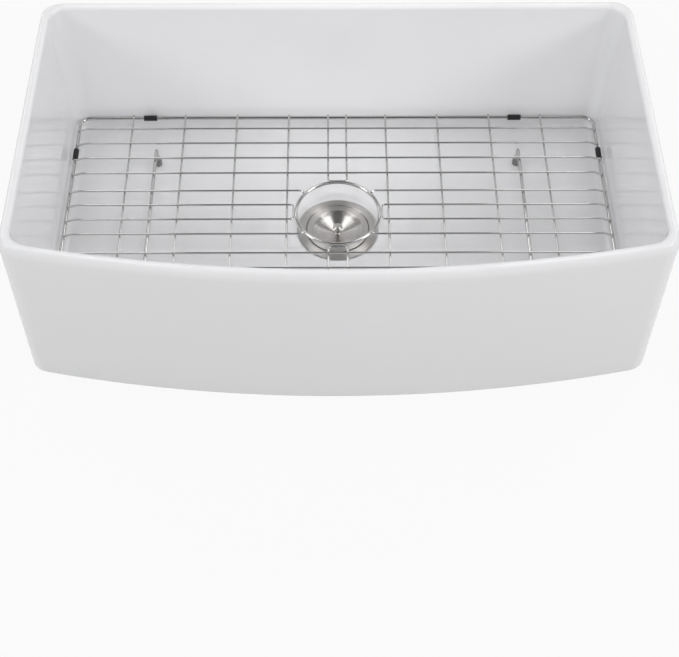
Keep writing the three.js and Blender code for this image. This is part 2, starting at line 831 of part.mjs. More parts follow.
const grid = new THREE.Group();
for (const [name, geometry] of frameStretches()) {
  addPiece(grid, name, geometry, 'brightSteel');
}
addPiece(grid, 'grid_ring', makeRing(), 'brightSteel');
fullRowY.forEach((y, i) => {
  const place = i < rearRows ? i + 1 : i + 1 + rowsAtRing;
  addPiece(grid, `long_wire_${String(place).padStart(2, '0')}`, makeFullRow(y), 'brightSteel');
});
for (const [sideName, side] of [['left', -1], ['right', 1]]) {
  addPiece(grid, `short_wire_rear_${sideName}`, makeShortRow(side, outerRingRow), 'brightSteel');
  addPiece(grid, `short_wire_front_${sideName}`, makeShortRow(side, -outerRingRow), 'brightSteel');
  addPiece(grid, `side_hairpin_${sideName}`, makeSideHairpin(side), 'brightSteel');
  columnX.forEach((x, i) => {
    addPiece(grid, `cross_wire_${sideName}_${i + 1}`, makeColumn(side * x), 'brightSteel');
  });
  addPiece(grid, `leg_wire_${sideName}`, makeLeg(side), 'brightSteel');
  for (const [endName, y] of [['rear', legRear], ['front', legFront]]) {
    const foot = addPiece(grid, `foot_${sideName}_${endName}`, makeFoot(), 'greyRubber');
    foot.position.set(side * legX, y, footLevel(y));
  }
}
addPiece(grid, 'end_hairpin_rear', makeEndHairpin(1, frameRear + 1), 'brightSteel');
const frontHairpinEnd = frontLine(frameInset, hairpinWidth / 2) - 1;
addPiece(grid, 'end_hairpin_front', makeEndHairpin(-1, frontHairpinEnd), 'brightSteel');
for (const [name, [x, y, turn]] of Object.entries(bumperPlaces())) {
  const bumper = addPiece(grid, name, makeBumper(), 'blackRubber');
  bumper.position.set(x, y, frameLevel);
  bumper.rotation.z = turn;
}
sink.add(grid);

export default sink;
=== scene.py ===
"""A bowed apron front sink with its wire grid and basket strainer, in a plain white studio.

Metres. +X is right, +Y is towards the wall, +Z is up. The origin is on the drain axis, in the plane
of the underside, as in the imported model.
"""

import math

import bmesh
import bpy
import numpy as np
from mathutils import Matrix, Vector


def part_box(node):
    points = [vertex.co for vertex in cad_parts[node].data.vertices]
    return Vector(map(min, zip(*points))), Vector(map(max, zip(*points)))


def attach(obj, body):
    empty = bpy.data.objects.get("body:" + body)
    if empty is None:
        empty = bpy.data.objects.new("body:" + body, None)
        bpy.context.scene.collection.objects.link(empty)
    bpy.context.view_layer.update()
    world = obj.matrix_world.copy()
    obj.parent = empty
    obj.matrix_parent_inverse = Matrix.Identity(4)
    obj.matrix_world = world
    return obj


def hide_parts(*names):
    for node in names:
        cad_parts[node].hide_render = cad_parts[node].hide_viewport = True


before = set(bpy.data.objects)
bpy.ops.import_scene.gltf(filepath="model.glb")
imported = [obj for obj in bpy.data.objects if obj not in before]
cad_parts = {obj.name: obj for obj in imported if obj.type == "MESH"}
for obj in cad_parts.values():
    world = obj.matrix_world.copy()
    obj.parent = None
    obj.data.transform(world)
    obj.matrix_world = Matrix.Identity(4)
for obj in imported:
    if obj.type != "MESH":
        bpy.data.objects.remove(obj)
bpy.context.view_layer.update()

bl_info = {
    "name": "Apron Front Sink",
    "version": (1, 0, 0),
    "blender": (4, 5, 0),
    "location": "3D View > Sidebar > Sink",
    "description": "Builds a bowed apron front sink with its grid, its strainer and a studio",
    "category": "Object",
}

MM = 0.001


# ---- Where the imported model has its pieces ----

def corners(node):
    """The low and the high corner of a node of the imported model."""
    return [Vector(corner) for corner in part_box(node)]


def node_middle(node):
    low, high = corners(node)
    return (low + high) / 2


def node_names(start):
    return sorted(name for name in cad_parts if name.startswith(start))


BASIN_LOW, BASIN_HIGH = corners("sink_basin")
BODY_LOW, BODY_HIGH = corners("strainer_body")
BASKET_LOW, BASKET_HIGH = corners("strainer_basket")
PLATE_HIGH = corners("lid_plate")[1]
KNOB_LOW, KNOB_HIGH = corners("lid_knob")
RING_HIGH = corners("grid_ring")[1]
ROW_LEVEL = node_middle("long_wire_14").z
COLUMN_LEVEL = node_middle("cross_wire_left_1").z
FRAME_LEVEL = node_middle(node_names("grid_frame")[0]).z
RING_LEVEL = node_middle("grid_ring").z


# ---- Sizes, colours and lights that a user would change ----

def length(name, description, millimetres):
    return bpy.props.FloatProperty(
        name=name, description=description, default=millimetres * MM, subtype="DISTANCE", unit="LENGTH",
        precision=5,
    )


def colour(name, description, red, green, blue):
    return bpy.props.FloatVectorProperty(
        name=name, description=description, default=(red, green, blue), size=3, min=0, max=1, subtype="COLOR",
    )


def share(name, description, value, highest=1.0):
    return bpy.props.FloatProperty(name=name, description=description, default=value, min=0, max=highest)


def power(name, description, watts):
    return bpy.props.FloatProperty(
        name=name, description=description, default=watts, subtype="POWER", unit="POWER", min=0,
    )


def count(name, description, value):
    return bpy.props.IntProperty(name=name, description=description, default=value, min=1)


class SINK_PG_basin(bpy.types.PropertyGroup):
    """Sizes of the fireclay basin"""

    bow: length("Apron Bow", "How far the middle of the apron stands out past its corners", 46.5)
    wall: length("Wall", "Thickness of the walls at the floor", 22)
    rim_width: length("Rim Width", "Width to which the walls taper at the top", 14.5)
    outer_back_corner: length("Outer Back Corner", "Radius of the outer corners at the back", 30)
    outer_front_corner: length("Outer Front Corner", "Radius of the outer corners at the apron", 28)
    inner_corner: length("Inner Corner", "Radius of the upright corners of the bowl", 20)
    rim_outer_round: length("Outer Rim Round", "Round of the outer edge, across the rim", 7)
    rim_outer_drop: length("Outer Rim Drop", "Round of the outer edge, down from the crown", 16)
    rim_inner_round: length("Inner Rim Round", "Radius of the inner edge of the rim", 5.5)
    foot_round: length("Foot Round", "Radius of the lower outside edge", 6)
    floor_round: length("Floor Round", "Radius between floor and wall", 16)
    floor_thickness: length("Floor Thickness", "Thickness of the floor round the drain", 26.5)
    floor_rise: length("Floor Rise", "How much the floor climbs from the drain to the walls", 4.5)
    drain_flat: length("Drain Flat", "Radius of the flat round the drain", 66)
    seat_radius: length("Seat Radius", "Radius of the recess for the strainer flange", 59.2)
    seat_depth: length("Seat Depth", "Depth of the recess for the strainer flange", 1.2)
    drain_radius: length("Drain Radius", "Radius of the drain hole", 47)


class SINK_PG_strainer(bpy.types.PropertyGroup):
    """Sizes of the basket strainer and its lid"""

    crest_radius: length("Crest Radius", "Radius of the highest circle of the flange", 48.5)
    ledge_radius: length("Ledge Radius", "Radius of the recess for the lid", 45.2)
    bore: length("Bore", "Inside radius of the strainer neck", 40)
    sheet: length("Sheet", "Thickness of the pressed steel", 1.2)
    outlet_bore: length("Outlet Bore", "Inside radius of the outlet", 19.5)
    thread_pitch: length("Thread Pitch", "Pitch of the screw threads", 2.1)
    thread_depth: length("Thread Depth", "Depth of the screw threads", 0.75)
    hole_radius: length("Hole Radius", "Radius of the holes in the basket", 1.7)
    dish_radius: length("Dish Radius", "Radius at which the lid's rim turns down into its dish", 33)
    dish_depth: length("Dish Depth", "Depth of the lid's dish at its hub", 9)
    knob_waist: length("Knob Waist", "Radius of the knob's neck", 2.9)
    nut_ribs: count("Nut Ribs", "Ribs round the lock nut", 36)
    nut_lugs: count("Nut Lugs", "Lugs round the lock nut", 4)


class SINK_PG_grid(bpy.types.PropertyGroup):
    """Sizes of the wire grid"""

    thin_wire: length("Thin Wire", "Radius of the long and cross wires", 1.5)
    frame_wire: length("Frame Wire", "Radius of the frame wire", 2.75)
    ring_wire: length("Ring Wire", "Radius of the ring and the leg wires", 2.5)
    frame_corner: length("Frame Corner", "Radius of the corners of the frame", 16)
    frame_inset: length("Frame Inset", "Outside of the basin to the middle of the frame wire", 30.1)
    end_flat: length("End Flat", "How much of a long wire lies on the frame", 4)
    end_slope: length("End Slope", "Length of the step down to the frame", 9)
    hairpin_bend: length("Hairpin Bend", "Corner cut of a hairpin bend", 5)
    leg_bend: length("Leg Bend", "Corner cut of the bend over a foot", 6)
    bumper_wall: length("Bumper Wall", "Thickness of a rubber bumper", 1.25)
    bumper_slit: length("Bumper Slit", "Width of the slit under a bumper", 1.1)


class SINK_PG_finish(bpy.types.PropertyGroup):
    """Colours of the finishes"""

    glaze: colour("Glaze", "Fireclay glaze", 0.88, 0.88, 0.892)
    bisque: colour("Bisque", "Unglazed fireclay of the underside", 0.62, 0.55, 0.46)
    spun_steel: colour("Spun Steel", "Strainer and lid", 0.67, 0.65, 0.632)
    wire_steel: colour("Wire Steel", "Polished wires of the grid", 0.64, 0.635, 0.63)
    black_rubber: colour("Black Rubber", "Bumpers and seals", 0.005, 0.005, 0.0055)
    grey_rubber: colour("Grey Rubber", "Feet of the grid", 0.17, 0.17, 0.172)
    fibre: colour("Fibre", "Fibre washer", 0.42, 0.31, 0.19)
    cast_metal: colour("Cast Metal", "Lock nut", 0.38, 0.38, 0.39)


class SINK_PG_studio(bpy.types.PropertyGroup):
    """Camera, lamps and the brightness of the painted studio"""

    focal_length: bpy.props.FloatProperty(
        name="Focal Length", description="Lens of the camera", default=70.5, subtype="DISTANCE_CAMERA",
    )
    pitch: bpy.props.FloatProperty(
        name="Pitch", description="How far the camera looks down", default=math.radians(53.93),
        subtype="ANGLE",
    )
    shift_x: bpy.props.FloatProperty(name="Shift X", description="Sideways shift of the lens", default=0.0102)
    shift_y: bpy.props.FloatProperty(name="Shift Y", description="Upward shift of the lens", default=0.0529)
    horizon: share("Horizon", "Brightness low in front and behind", 0.5, 4.0)
    backdrop: share("Backdrop", "Brightness of the studio where the camera sees it", 0.955)
    flags: share("Flags", "Brightness low on the left and on the right", 0.1, 4.0)
    upper: share("Upper Sides", "Brightness high on the left, on the right and behind", 0.345, 4.0)
    overhead: share("Overhead", "Brightness of the dark part above the camera", 0.12, 4.0)
    strip: share("Rear Strips", "Extra brightness of two strips high behind, which wires mirror", 2.2, 4.0)
    left_window: power("Left Window", "Power of the softbox high on the left", 12)
    right_window: power("Right Window", "Power of the softbox high on the right", 13)
    left_key: power("Left Key", "Power of the softbox low on the left", 25)
    right_key: power("Right Key", "Power of the softbox low on the right", 32)
    front_fill: power("Front Fill", "Power of the fill in front", 40)
    bowl_spot: power("Bowl Spot", "Power of the soft spot on the back of the bowl", 120)


# ---- Meshes and nodes ----

def linked(name, data):
    """A new object with its data, in the scene's own collection."""
    made = bpy.data.objects.new(name, data)
    bpy.context.scene.collection.objects.link(made)
    return made


def plain_mesh(name, vertices, edges, faces):
    mesh = bpy.data.meshes.new(name)
    mesh.from_pydata([tuple(vertex) for vertex in vertices], edges, faces)
    return mesh


def node_adder(tree):
    """A helper that adds a node, with sources or numbers for its sockets and values for its settings."""
    def feed(node, sources):
        for socket, source in sources.items():
            if isinstance(source, bpy.types.NodeSocket):
                tree.links.new(source, node.inputs[socket])
            else:
                node.inputs[socket].default_value = source

    def add(kind, sources=None, **settings):
        node = tree.nodes.new(kind)
        for key, value in settings.items():
            if hasattr(node, key):
                setattr(node, key, value)
            else:
                node.inputs[key.replace("_", " ")].default_value = value
        feed(node, sources or {})
        return node

    add.feed = feed
    return add


def mesh_piece(name, vertices, faces, material):
    mesh = plain_mesh(name, vertices, [], faces)
    piece = linked(name, mesh)
    work = bmesh.new()
    work.from_mesh(mesh)
    bmesh.ops.remove_doubles(work, verts=work.verts, dist=1e-7)
    bmesh.ops.recalc_face_normals(work, faces=work.faces)
    if work.calc_volume(signed=True) < 0:
        bmesh.ops.reverse_faces(work, faces=work.faces)
    work.to_mesh(mesh)
    work.free()
    mesh.shade_smooth()
    mesh.materials.append(material)
    return piece


def ring_faces(rings, size, endless):
    """Quads between neighbouring rings of equal size, and between the last and the first if endless."""
    faces = []
    for ring in range(rings if endless else rings - 1):
        lower = ring * size
        upper = (ring + 1) % rings * size
        for i in range(size):
            following = (i + 1) % size
            faces.append((lower + i, lower + following, upper + following, upper + i))
    return faces


ON_AXIS = 1e-6  # a radius below this, in millimetres, is a point of the axis


def corner_curve(start, corner, end, steps):
    """Points of a smooth turn from start to end, drawn towards the corner."""
    shares = [i / steps for i in range(steps + 1)]
    return [start * (1 - t) ** 2 + corner * 2 * t * (1 - t) + end * t ** 2 for t in shares]


def softened(profile, closed):
    """Rounds the corners of [radius, level, round] points, and holds the faces beside them flat."""
    points = [(Vector((radius, level)), soft) for radius, level, soft in profile]
    rounded = []
    for i, (corner, soft) in enumerate(points):
        if soft <= 0 or (not closed and i in (0, len(points) - 1)):
            rounded.append(corner)
            continue
        before = points[i - 1][0] - corner
        after = points[(i + 1) % len(points)][0] - corner
        cut = min(soft, before.length * 0.4, after.length * 0.4)
        start = corner + before.normalized() * cut
        end = corner + after.normalized() * cut
        rounded.append(corner + before.normalized() * cut * 1.2)
        rounded += corner_curve(start, corner, end, 4)
        rounded.append(corner + after.normalized() * cut * 1.2)
    return rounded


def turned(name, profile, material, closed=True, facets=128, shape=None):
    """Revolves [radius, level, round] points in millimetres; shape may change a radius by its angle."""
    rows = softened(profile, closed)
    vertices = []
    starts = []
    for row in rows:
        starts.append(len(vertices))
        if row.x < ON_AXIS:
            vertices.append((0, 0, row.y * MM))
            continue
        for i in range(facets):
            angle = 2 * math.pi * i / facets
            radius = shape(row.x, row.y, angle) if shape else row.x
            vertices.append((radius * math.cos(angle) * MM, radius * math.sin(angle) * MM, row.y * MM))
    faces = []
    for row in range(len(rows) if closed else len(rows) - 1):
        following = (row + 1) % len(rows)
        a, b = starts[row], starts[following]
        for i in range(facets):
            j = (i + 1) % facets
            if rows[row].x < ON_AXIS:
                faces.append((a, b + j, b + i))
            elif rows[following].x < ON_AXIS:
                faces.append((a + i, a + j, b))
            else:
                faces.append((a + i, a + j, b + j, b + i))
    return mesh_piece(name, vertices, faces, material)


def groove(level, angle, pitch, depth):
    """Depth of a screw thread at a level and an angle."""
    turn = level / pitch - angle / (2 * math.pi)
    return depth * (0.5 - 0.5 * math.cos(2 * math.pi * turn))


def threaded(radius, low, high, step):
    """Rows of a threaded stretch, close enough to carry the thread."""
    rows = max(int((high - low) / step), 2)
    return [(radius, low + (high - low) * i / rows, 0) for i in range(rows + 1)]


def finished(piece, body, nodes):
    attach(piece, body)
    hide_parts(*nodes)
    return piece


# ---- Plan of the basin ----

def apron_arc():
    """Radius of the arc of the apron, and the y of its centre."""
    bow = bpy.context.scene.sink_basin.bow
    radius = (BASIN_HIGH.x ** 2 + bow ** 2) / (2 * bow)
    return radius, BASIN_LOW.y + radius


def front_line(inset, x):
    """The y of the apron, set in by inset, at a distance from the middle."""
    radius, centre = apron_arc()
    return centre - math.sqrt((radius - inset) ** 2 - x * x)


def arc(x, y, radius, start, end, steps):
    """Points of an arc without its last one."""
    angles = [start + (end - start) * i / steps for i in range(steps)]
    return [(x + radius * math.cos(angle), y + radius * math.sin(angle)) for angle in angles]


def stretch(start, end, steps):
    """Points of a straight stretch without its last one."""
    return [
        (start[0] + (end[0] - start[0]) * i / steps, start[1] + (end[1] - start[1]) * i / steps)
        for i in range(steps)
    ]


def plan_outline(inset, back_corner, front_corner):
    """Outline set in from the outside: bowed front, straight sides and back, round corners."""
    back_corner, front_corner = max(back_corner, MM), max(front_corner, MM)
    radius, centre = apron_arc()
    half = BASIN_HIGH.x - inset
    back = BASIN_HIGH.y - inset
    corner_x = half - front_corner
    corner_y = centre - math.sqrt((radius - inset - front_corner) ** 2 - corner_x ** 2)
    turn = math.atan2(corner_y - centre, corner_x)
    upper_y = back - back_corner
    return np.array(
        arc(0, centre, radius - inset, -math.pi - turn, turn, 72)
        + arc(corner_x, corner_y, front_corner, turn, 0, 14)
        + stretch((half, corner_y), (half, upper_y), 16)
        + arc(half - back_corner, upper_y, back_corner, 0, math.pi / 2, 14)
        + stretch((half - back_corner, back), (back_corner - half, back), 28)
        + arc(back_corner - half, upper_y, back_corner, math.pi / 2, math.pi, 14)
        + stretch((-half, upper_y), (-half, corner_y), 16)
        + arc(-corner_x, corner_y, front_corner, math.pi, math.pi - turn, 14)
    )


def level_ring(outline, level):
    return np.column_stack([outline, np.full(len(outline), level)])


def quarter(steps):
    return [math.pi / 2 * i / steps for i in range(steps + 1)]


def basin_rings():
    """Rings of the basin: up the outside, over the rim, down the bowl, across the floor and back below."""
    sizes = bpy.context.scene.sink_basin
    height = BASIN_HIGH.z
    back, front, wall = sizes.outer_back_corner, sizes.outer_front_corner, sizes.wall
    foot, inner, cove = sizes.foot_round, sizes.rim_inner_round, sizes.floor_round
    rim, outer, drop = sizes.rim_width, sizes.rim_outer_round, sizes.rim_outer_drop
    floor = sizes.floor_thickness
    edge = floor + sizes.floor_rise

    def outside(inset, level):
        return level_ring(plan_outline(inset, back - inset, front - inset), level)

    def inside(inset, level):
        corner = sizes.inner_corner + wall - inset
        return level_ring(plan_outline(inset, corner, corner), level)

    rings = [outside(foot * (1 - math.sin(t)), foot * (1 - math.cos(t))) for t in quarter(10)]
    walls = [foot + (height - drop - foot) * i / 12 for i in range(1, 12)]
    rings += [outside(0, level) for level in walls]
    rings += [outside(outer * (1 - math.cos(t)), height - drop * (1 - math.sin(t))) for t in quarter(14)]
    rings.append(outside((outer + rim - inner) / 2, height))
    rings += [inside(rim - inner * (1 - math.sin(t)), height - inner * (1 - math.cos(t))) for t in quarter(12)]
    taper = [i / 12 for i in range(1, 12)]
    fall = height - inner - edge - cove
    rings += [inside(rim + (wall - rim) * t, height - inner - fall * t) for t in taper]
    rings += [inside(wall + cove * (1 - math.cos(t)), edge + cove * (1 - math.sin(t))) for t in quarter(12)]

    floor_edge = plan_outline(wall + cove, sizes.inner_corner - cove, sizes.inner_corner - cove)
    angles = np.arctan2(floor_edge[:, 1], floor_edge[:, 0])
    circle = np.column_stack([np.cos(angles), np.sin(angles)])
    flat = sizes.drain_flat / (BASIN_HIGH.y - wall - cove)
    for i in range(1, 15):
        scale = 1 - (1 - flat) * i / 14
        climb = (scale - flat) / (1 - flat)
        rings.append(level_ring(floor_edge * scale, floor + sizes.floor_rise * climb))
    recess, hole = sizes.seat_radius, sizes.drain_radius
    for i in range(1, 6):
        mix = i / 5
        rings.append(level_ring(floor_edge * flat * (1 - mix) + circle * (recess + MM) * mix, floor))
    seat = floor - sizes.seat_depth
    drain = [
        (recess + 0.4 * MM, floor - 0.12 * MM), (recess, floor - 0.5 * MM),
        (recess - 0.3 * MM, seat + 0.1 * MM), (recess - 0.8 * MM, seat), (hole + 1.4 * MM, seat),
        (hole + 0.4 * MM, seat - 0.4 * MM), (hole, seat - 1.4 * MM), (hole, floor / 2), (hole, 1.6 * MM),
        (hole + 0.5 * MM, 0.5 * MM), (hole + 1.6 * MM, 0),
    ]
    rings += [level_ring(circle * radius, level) for radius, level in drain]
    foot_edge = plan_outline(foot, back - foot, front - foot)
    for i in range(1, 8):
        mix = i / 8
        rings.append(level_ring(circle * drain[-1][0] * (1 - mix) + foot_edge * mix, 0))
    return rings


# ---- Wires ----

def geometry_tree(name, sockets):
    """A new tree from and to a geometry, its inputs, its helper and what ends it in a material.

    A tree that is there already comes back alone.
    """
    tree = bpy.data.node_groups.get(name)
    if tree:
        return tree, None, None, None
    tree = bpy.data.node_groups.new(name, "GeometryNodeTree")
    for label, kind in (("Geometry", "Geometry"), *sockets, ("Material", "Material")):
        tree.interface.new_socket(label, in_out="INPUT", socket_type=f"NodeSocket{kind}")
    tree.interface.new_socket("Geometry", in_out="OUTPUT", socket_type="NodeSocketGeometry")
    start = tree.nodes.new("NodeGroupInput").outputs
    add = node_adder(tree)

    def finish(geometry, *steps):
        for step in (*steps, "SetMaterial"):
            node = add(f"GeometryNode{step}", {"Geometry": geometry})
            geometry = node.outputs["Geometry"]
        add.feed(node, {"Material": start["Material"]})
        add("NodeGroupOutput", {"Geometry": geometry})

    return tree, start, add, finish


def wire_tree():
    """Geometry nodes that sweep a round wire along the edges of a mesh."""
    tree, start, add, finish = geometry_tree("Wire Along Edges", (("Wire Radius", "Float"), ("Facets", "Int")))
    if add:
        curve = add("GeometryNodeMeshToCurve", {"Mesh": start["Geometry"]})
        tip = add("GeometryNodeInputNamedAttribute", data_type="FLOAT", Name="tip")
        run = add("GeometryNodeSetCurveRadius", {
            "Curve": curve.outputs["Curve"], "Radius": tip.outputs["Attribute"],
        })
        section = add("GeometryNodeCurvePrimitiveCircle", {
            "Radius": start["Wire Radius"], "Resolution": start["Facets"],
        })
        swept = add("GeometryNodeCurveToMesh", {
            "Curve": run.outputs["Curve"], "Profile Curve": section.outputs["Curve"], "Fill Caps": True,
        })
        finish(swept.outputs["Mesh"], "SetShadeSmooth", "RealizeInstances")
    return tree


def spot_tree():
    """Geometry nodes that set a small flattened bead of weld on every vertex."""
    tree, start, add, finish = geometry_tree("Weld Beads", (("Bead Radius", "Float"), ("Flatness", "Vector")))
    if add:
        bead = add("GeometryNodeMeshIcoSphere", {"Radius": start["Bead Radius"]}, Subdivisions=2)
        varied = add("FunctionNodeRandomValue", data_type="FLOAT", Min=0.9, Max=1.15, Seed=5)
        scale = add("ShaderNodeVectorMath", {0: start["Flatness"], "Scale": varied.outputs["Value"]},
                    operation="SCALE")
        beads = add("GeometryNodeInstanceOnPoints", {
            "Points": start["Geometry"], "Instance": bead.outputs["Mesh"], "Scale": scale.outputs["Vector"],
        })
        finish(beads.outputs["Instances"], "RealizeInstances", "SetShadeSmooth")
    return tree


def perforation_tree():
    """Geometry nodes that cut rings of round holes through a mesh."""
    rings = ("Inner", "Middle", "Outer")
    sockets = [("Hole Radius", "Float"), ("Hole Level", "Float"), ("Hole Depth", "Float")]
    for ring in rings:
        sockets += [(f"{ring} Ring Radius", "Float"), (f"{ring} Ring Holes", "Int")]
    tree, start, add, finish = geometry_tree("Rings Of Holes", sockets)
    if add:
        drill = add("GeometryNodeMeshCylinder", {"Radius": start["Hole Radius"], "Depth": start["Hole Depth"]},
                    Vertices=20)
        level = add("ShaderNodeCombineXYZ", {"Z": start["Hole Level"]})
        joined = add("GeometryNodeJoinGeometry")
        for ring in rings:
            circle = add("GeometryNodeMeshCircle", {
                "Radius": start[f"{ring} Ring Radius"], "Vertices": start[f"{ring} Ring Holes"],
            })
            add.feed(joined, {"Geometry": circle.outputs["Mesh"]})
        points = add("GeometryNodeSetPosition", {
            "Geometry": joined.outputs["Geometry"], "Offset": level.outputs["Vector"],
        })
        drills = add("GeometryNodeInstanceOnPoints", {
            "Points": points.outputs["Geometry"], "Instance": drill.outputs["Mesh"],
        })
        drills = add("GeometryNodeRealizeInstances", {"Geometry": drills.outputs["Instances"]})
        cut = add("GeometryNodeMeshBoolean", {
            "Mesh 1": start["Geometry"], "Mesh 2": drills.outputs["Geometry"],
        }, operation="DIFFERENCE", solver="EXACT")
        finish(cut.outputs["Mesh"], "RealizeInstances")
    return tree


def through_nodes(source, tree, **inputs):
    """Runs a tree on an object and gives back a plain mesh object of the same name."""
    modifier = source.modifiers.new(tree.name, "NODES")
    modifier.node_group = tree
    names = {item.name: item.identifier for item in tree.interface.items_tree if item.in_out == "INPUT"}
    for name, value in inputs.items():
        modifier[names[name.replace("_", " ").title()]] = value
    bpy.context.view_layer.update()
    evaluated = source.evaluated_get(bpy.context.evaluated_depsgraph_get())
    mesh = bpy.data.meshes.new_from_object(evaluated)
    name = source.name
    bpy.data.objects.remove(source)
    if not mesh.polygons:
        raise RuntimeError(f"{name} came out of its nodes empty")
    mesh.name = name
    return linked(name, mesh)


def bent(points, bend, steps=6):
    """Turns each inner corner of a run of points into a bend."""
    path = [Vector(points[0])]
    for before, corner, after in zip(points, points[1:], points[2:]):
        corner = Vector(corner)
        back, on = Vector(before) - corner, Vector(after) - corner
        reach = min(bend, back.length * 0.49, on.length * 0.49)
        start, end = corner + back.normalized() * reach, corner + on.normalized() * reach
        path += corner_curve(start, corner, end, steps)
    path.append(Vector(points[-1]))
    return path


def wires(name, paths, radius, material, facets=14, endless=False):
    """One object with a round wire along each path. The cut ends are slightly rounded."""
    vertices, edges, tips = [], [], []
    for path in paths:
        first = len(vertices)
        points = [Vector(point) for point in path]
        scales = [1.0] * len(points)
        if not endless:
            head, tail = points[1] - points[0], points[-2] - points[-1]
            steps = ((0, 0.62), (0.12, 0.86), (0.35, 1.0))
            start = [points[0] + head.normalized() * radius * along for along, _ in steps]
            end = [points[-1] + tail.normalized() * radius * along for along, _ in steps]
            points = start + points[1:-1] + end[::-1]
            shrink = [scale for _, scale in steps]
            scales = shrink + [1.0] * (len(points) - 6) + shrink[::-1]
        vertices += points
        tips += scales
        edges += [(first + i, first + i + 1) for i in range(len(points) - 1)]
        if endless:
            edges.append((len(vertices) - 1, first))
    mesh = plain_mesh(name, vertices, edges, [])
    mesh.attributes.new("tip", "FLOAT", "POINT").data.foreach_set("value", tips)
    return through_nodes(linked(name, mesh), wire_tree(), wire_radius=radius, facets=facets, material=material)


EIGHT_SIDED = 0.924  # half the width of an eight-sided wire of the model over its radius
WELD_GAP = 0.3 * MM  # between two wires that a bead joins
BEAD_LIFT = 0.15 * MM  # from the surface of a wire to the middle of a bead on it
ROW_BEND = 3 * MM  # corner cut where a row steps down or turns
SHORT_BEND = 5 * MM  # from the tip of a short wire out to its turn
LEG_CLEAR = 4 * MM  # rows nearer than this to a foot have no bead on the leg wire


def wire_line(node, axis, radius):
    """Where the middle of the highest stretch of a wire lies along x, y or z."""
    return getattr(corners(node)[1], axis) - radius * EIGHT_SIDED


def row_end(side, y):
    """Where a long wire steps down on to the side of the frame, from its end inwards."""
    sizes = bpy.context.scene.sink_grid
    step = BASIN_HIGH.x - sizes.frame_inset - sizes.end_flat
    return [
        (side * corners("long_wire_01")[1].x, y, COLUMN_LEVEL), (side * step, y, COLUMN_LEVEL),
        (side * (step - sizes.end_slope), y, ROW_LEVEL),
    ]


def long_wire_paths():
    paths = []
    for node in node_names("long_wire"):
        low, high = corners(node)
        y = (low.y + high.y) / 2
        if high.z - low.z < 2.5 * bpy.context.scene.sink_grid.thin_wire:
            paths.append([(low.x, y, ROW_LEVEL), (high.x, y, ROW_LEVEL)])
        else:
            paths.append(bent(row_end(-1, y) + row_end(1, y)[::-1], ROW_BEND))
    return paths


def ring_touch():
    """How far out a thin wire lies when it touches the ring."""
    sizes = bpy.context.scene.sink_grid
    apart = sizes.ring_wire + sizes.thin_wire + WELD_GAP
    return RING_HIGH.x - sizes.ring_wire + math.sqrt(apart ** 2 - (ROW_LEVEL - RING_LEVEL) ** 2)


def short_wire_row():
    """Distance of the rows that stop at the ring from the middle."""
    return wire_line("short_wire_rear_left", "y", bpy.context.scene.sink_grid.thin_wire)


def side_hairpin_row():
    """Distance of the sides of the left and right hairpins from the middle."""
    return wire_line("side_hairpin_left", "y", bpy.context.scene.sink_grid.thin_wire)


def end_hairpin_column():
    """Distance of the sides of the rear and front hairpins from the middle."""
    return wire_line("end_hairpin_rear", "x", bpy.context.scene.sink_grid.thin_wire)


def short_wire_paths():
    y = short_wire_row()
    tip = RING_HIGH.x + WELD_GAP
    corner = tip + SHORT_BEND
    turn = math.asin(y / corner)
    paths = []
    for side in (-1, 1):
        for front in (1, -1):
            inner = [
                (side * corner * math.cos(turn), front * y, ROW_LEVEL),
                (side * tip * math.cos(turn), front * tip * math.sin(turn), ROW_LEVEL),
            ]
            paths.append(bent(row_end(side, front * y) + inner, ROW_BEND))
    return paths


def side_hairpin_paths():
    y, near = side_hairpin_row(), ring_touch()
    paths = []
    for side in (-1, 1):
        turn = [(side * near, y, ROW_LEVEL), (side * near, -y, ROW_LEVEL)]
        run = row_end(side, y) + turn + row_end(side, -y)[::-1]
        paths.append(bent(run, bpy.context.scene.sink_grid.hairpin_bend))
    return paths


def cross_wire_paths():
    paths = []
    for node in node_names("cross_wire"):
        low, high = corners(node)
        x = (low.x + high.x) / 2
        paths.append([(x, high.y, COLUMN_LEVEL), (x, low.y, COLUMN_LEVEL)])
    return paths


def end_hairpin_paths():
    half = end_hairpin_column()
    paths = []
    for far, front in ((corners("end_hairpin_rear")[1].y, 1), (corners("end_hairpin_front")[0].y, -1)):
        near = front * ring_touch()
        run = [(x, y, COLUMN_LEVEL) for x, y in ((-half, far), (-half, near), (half, near), (half, far))]
        paths.append(bent(run, bpy.context.scene.sink_grid.hairpin_bend))
    return paths


def leg_wire_paths():
    sizes = bpy.context.scene.sink_grid
    paths = []
    for side in ("left", "right"):
        x = node_middle(f"leg_wire_{side}").x
        low = corners(f"leg_wire_{side}")[0].z
        top = wire_line(f"leg_wire_{side}", "z", sizes.ring_wire)
        rear, front = (node_middle(f"foot_{side}_{end}").y for end in ("rear", "front"))
        run = [(x, rear, low), (x, rear, top), (x, front, top), (x, front, low)]
        paths.append(bent(run, sizes.leg_bend, 8))
    return paths


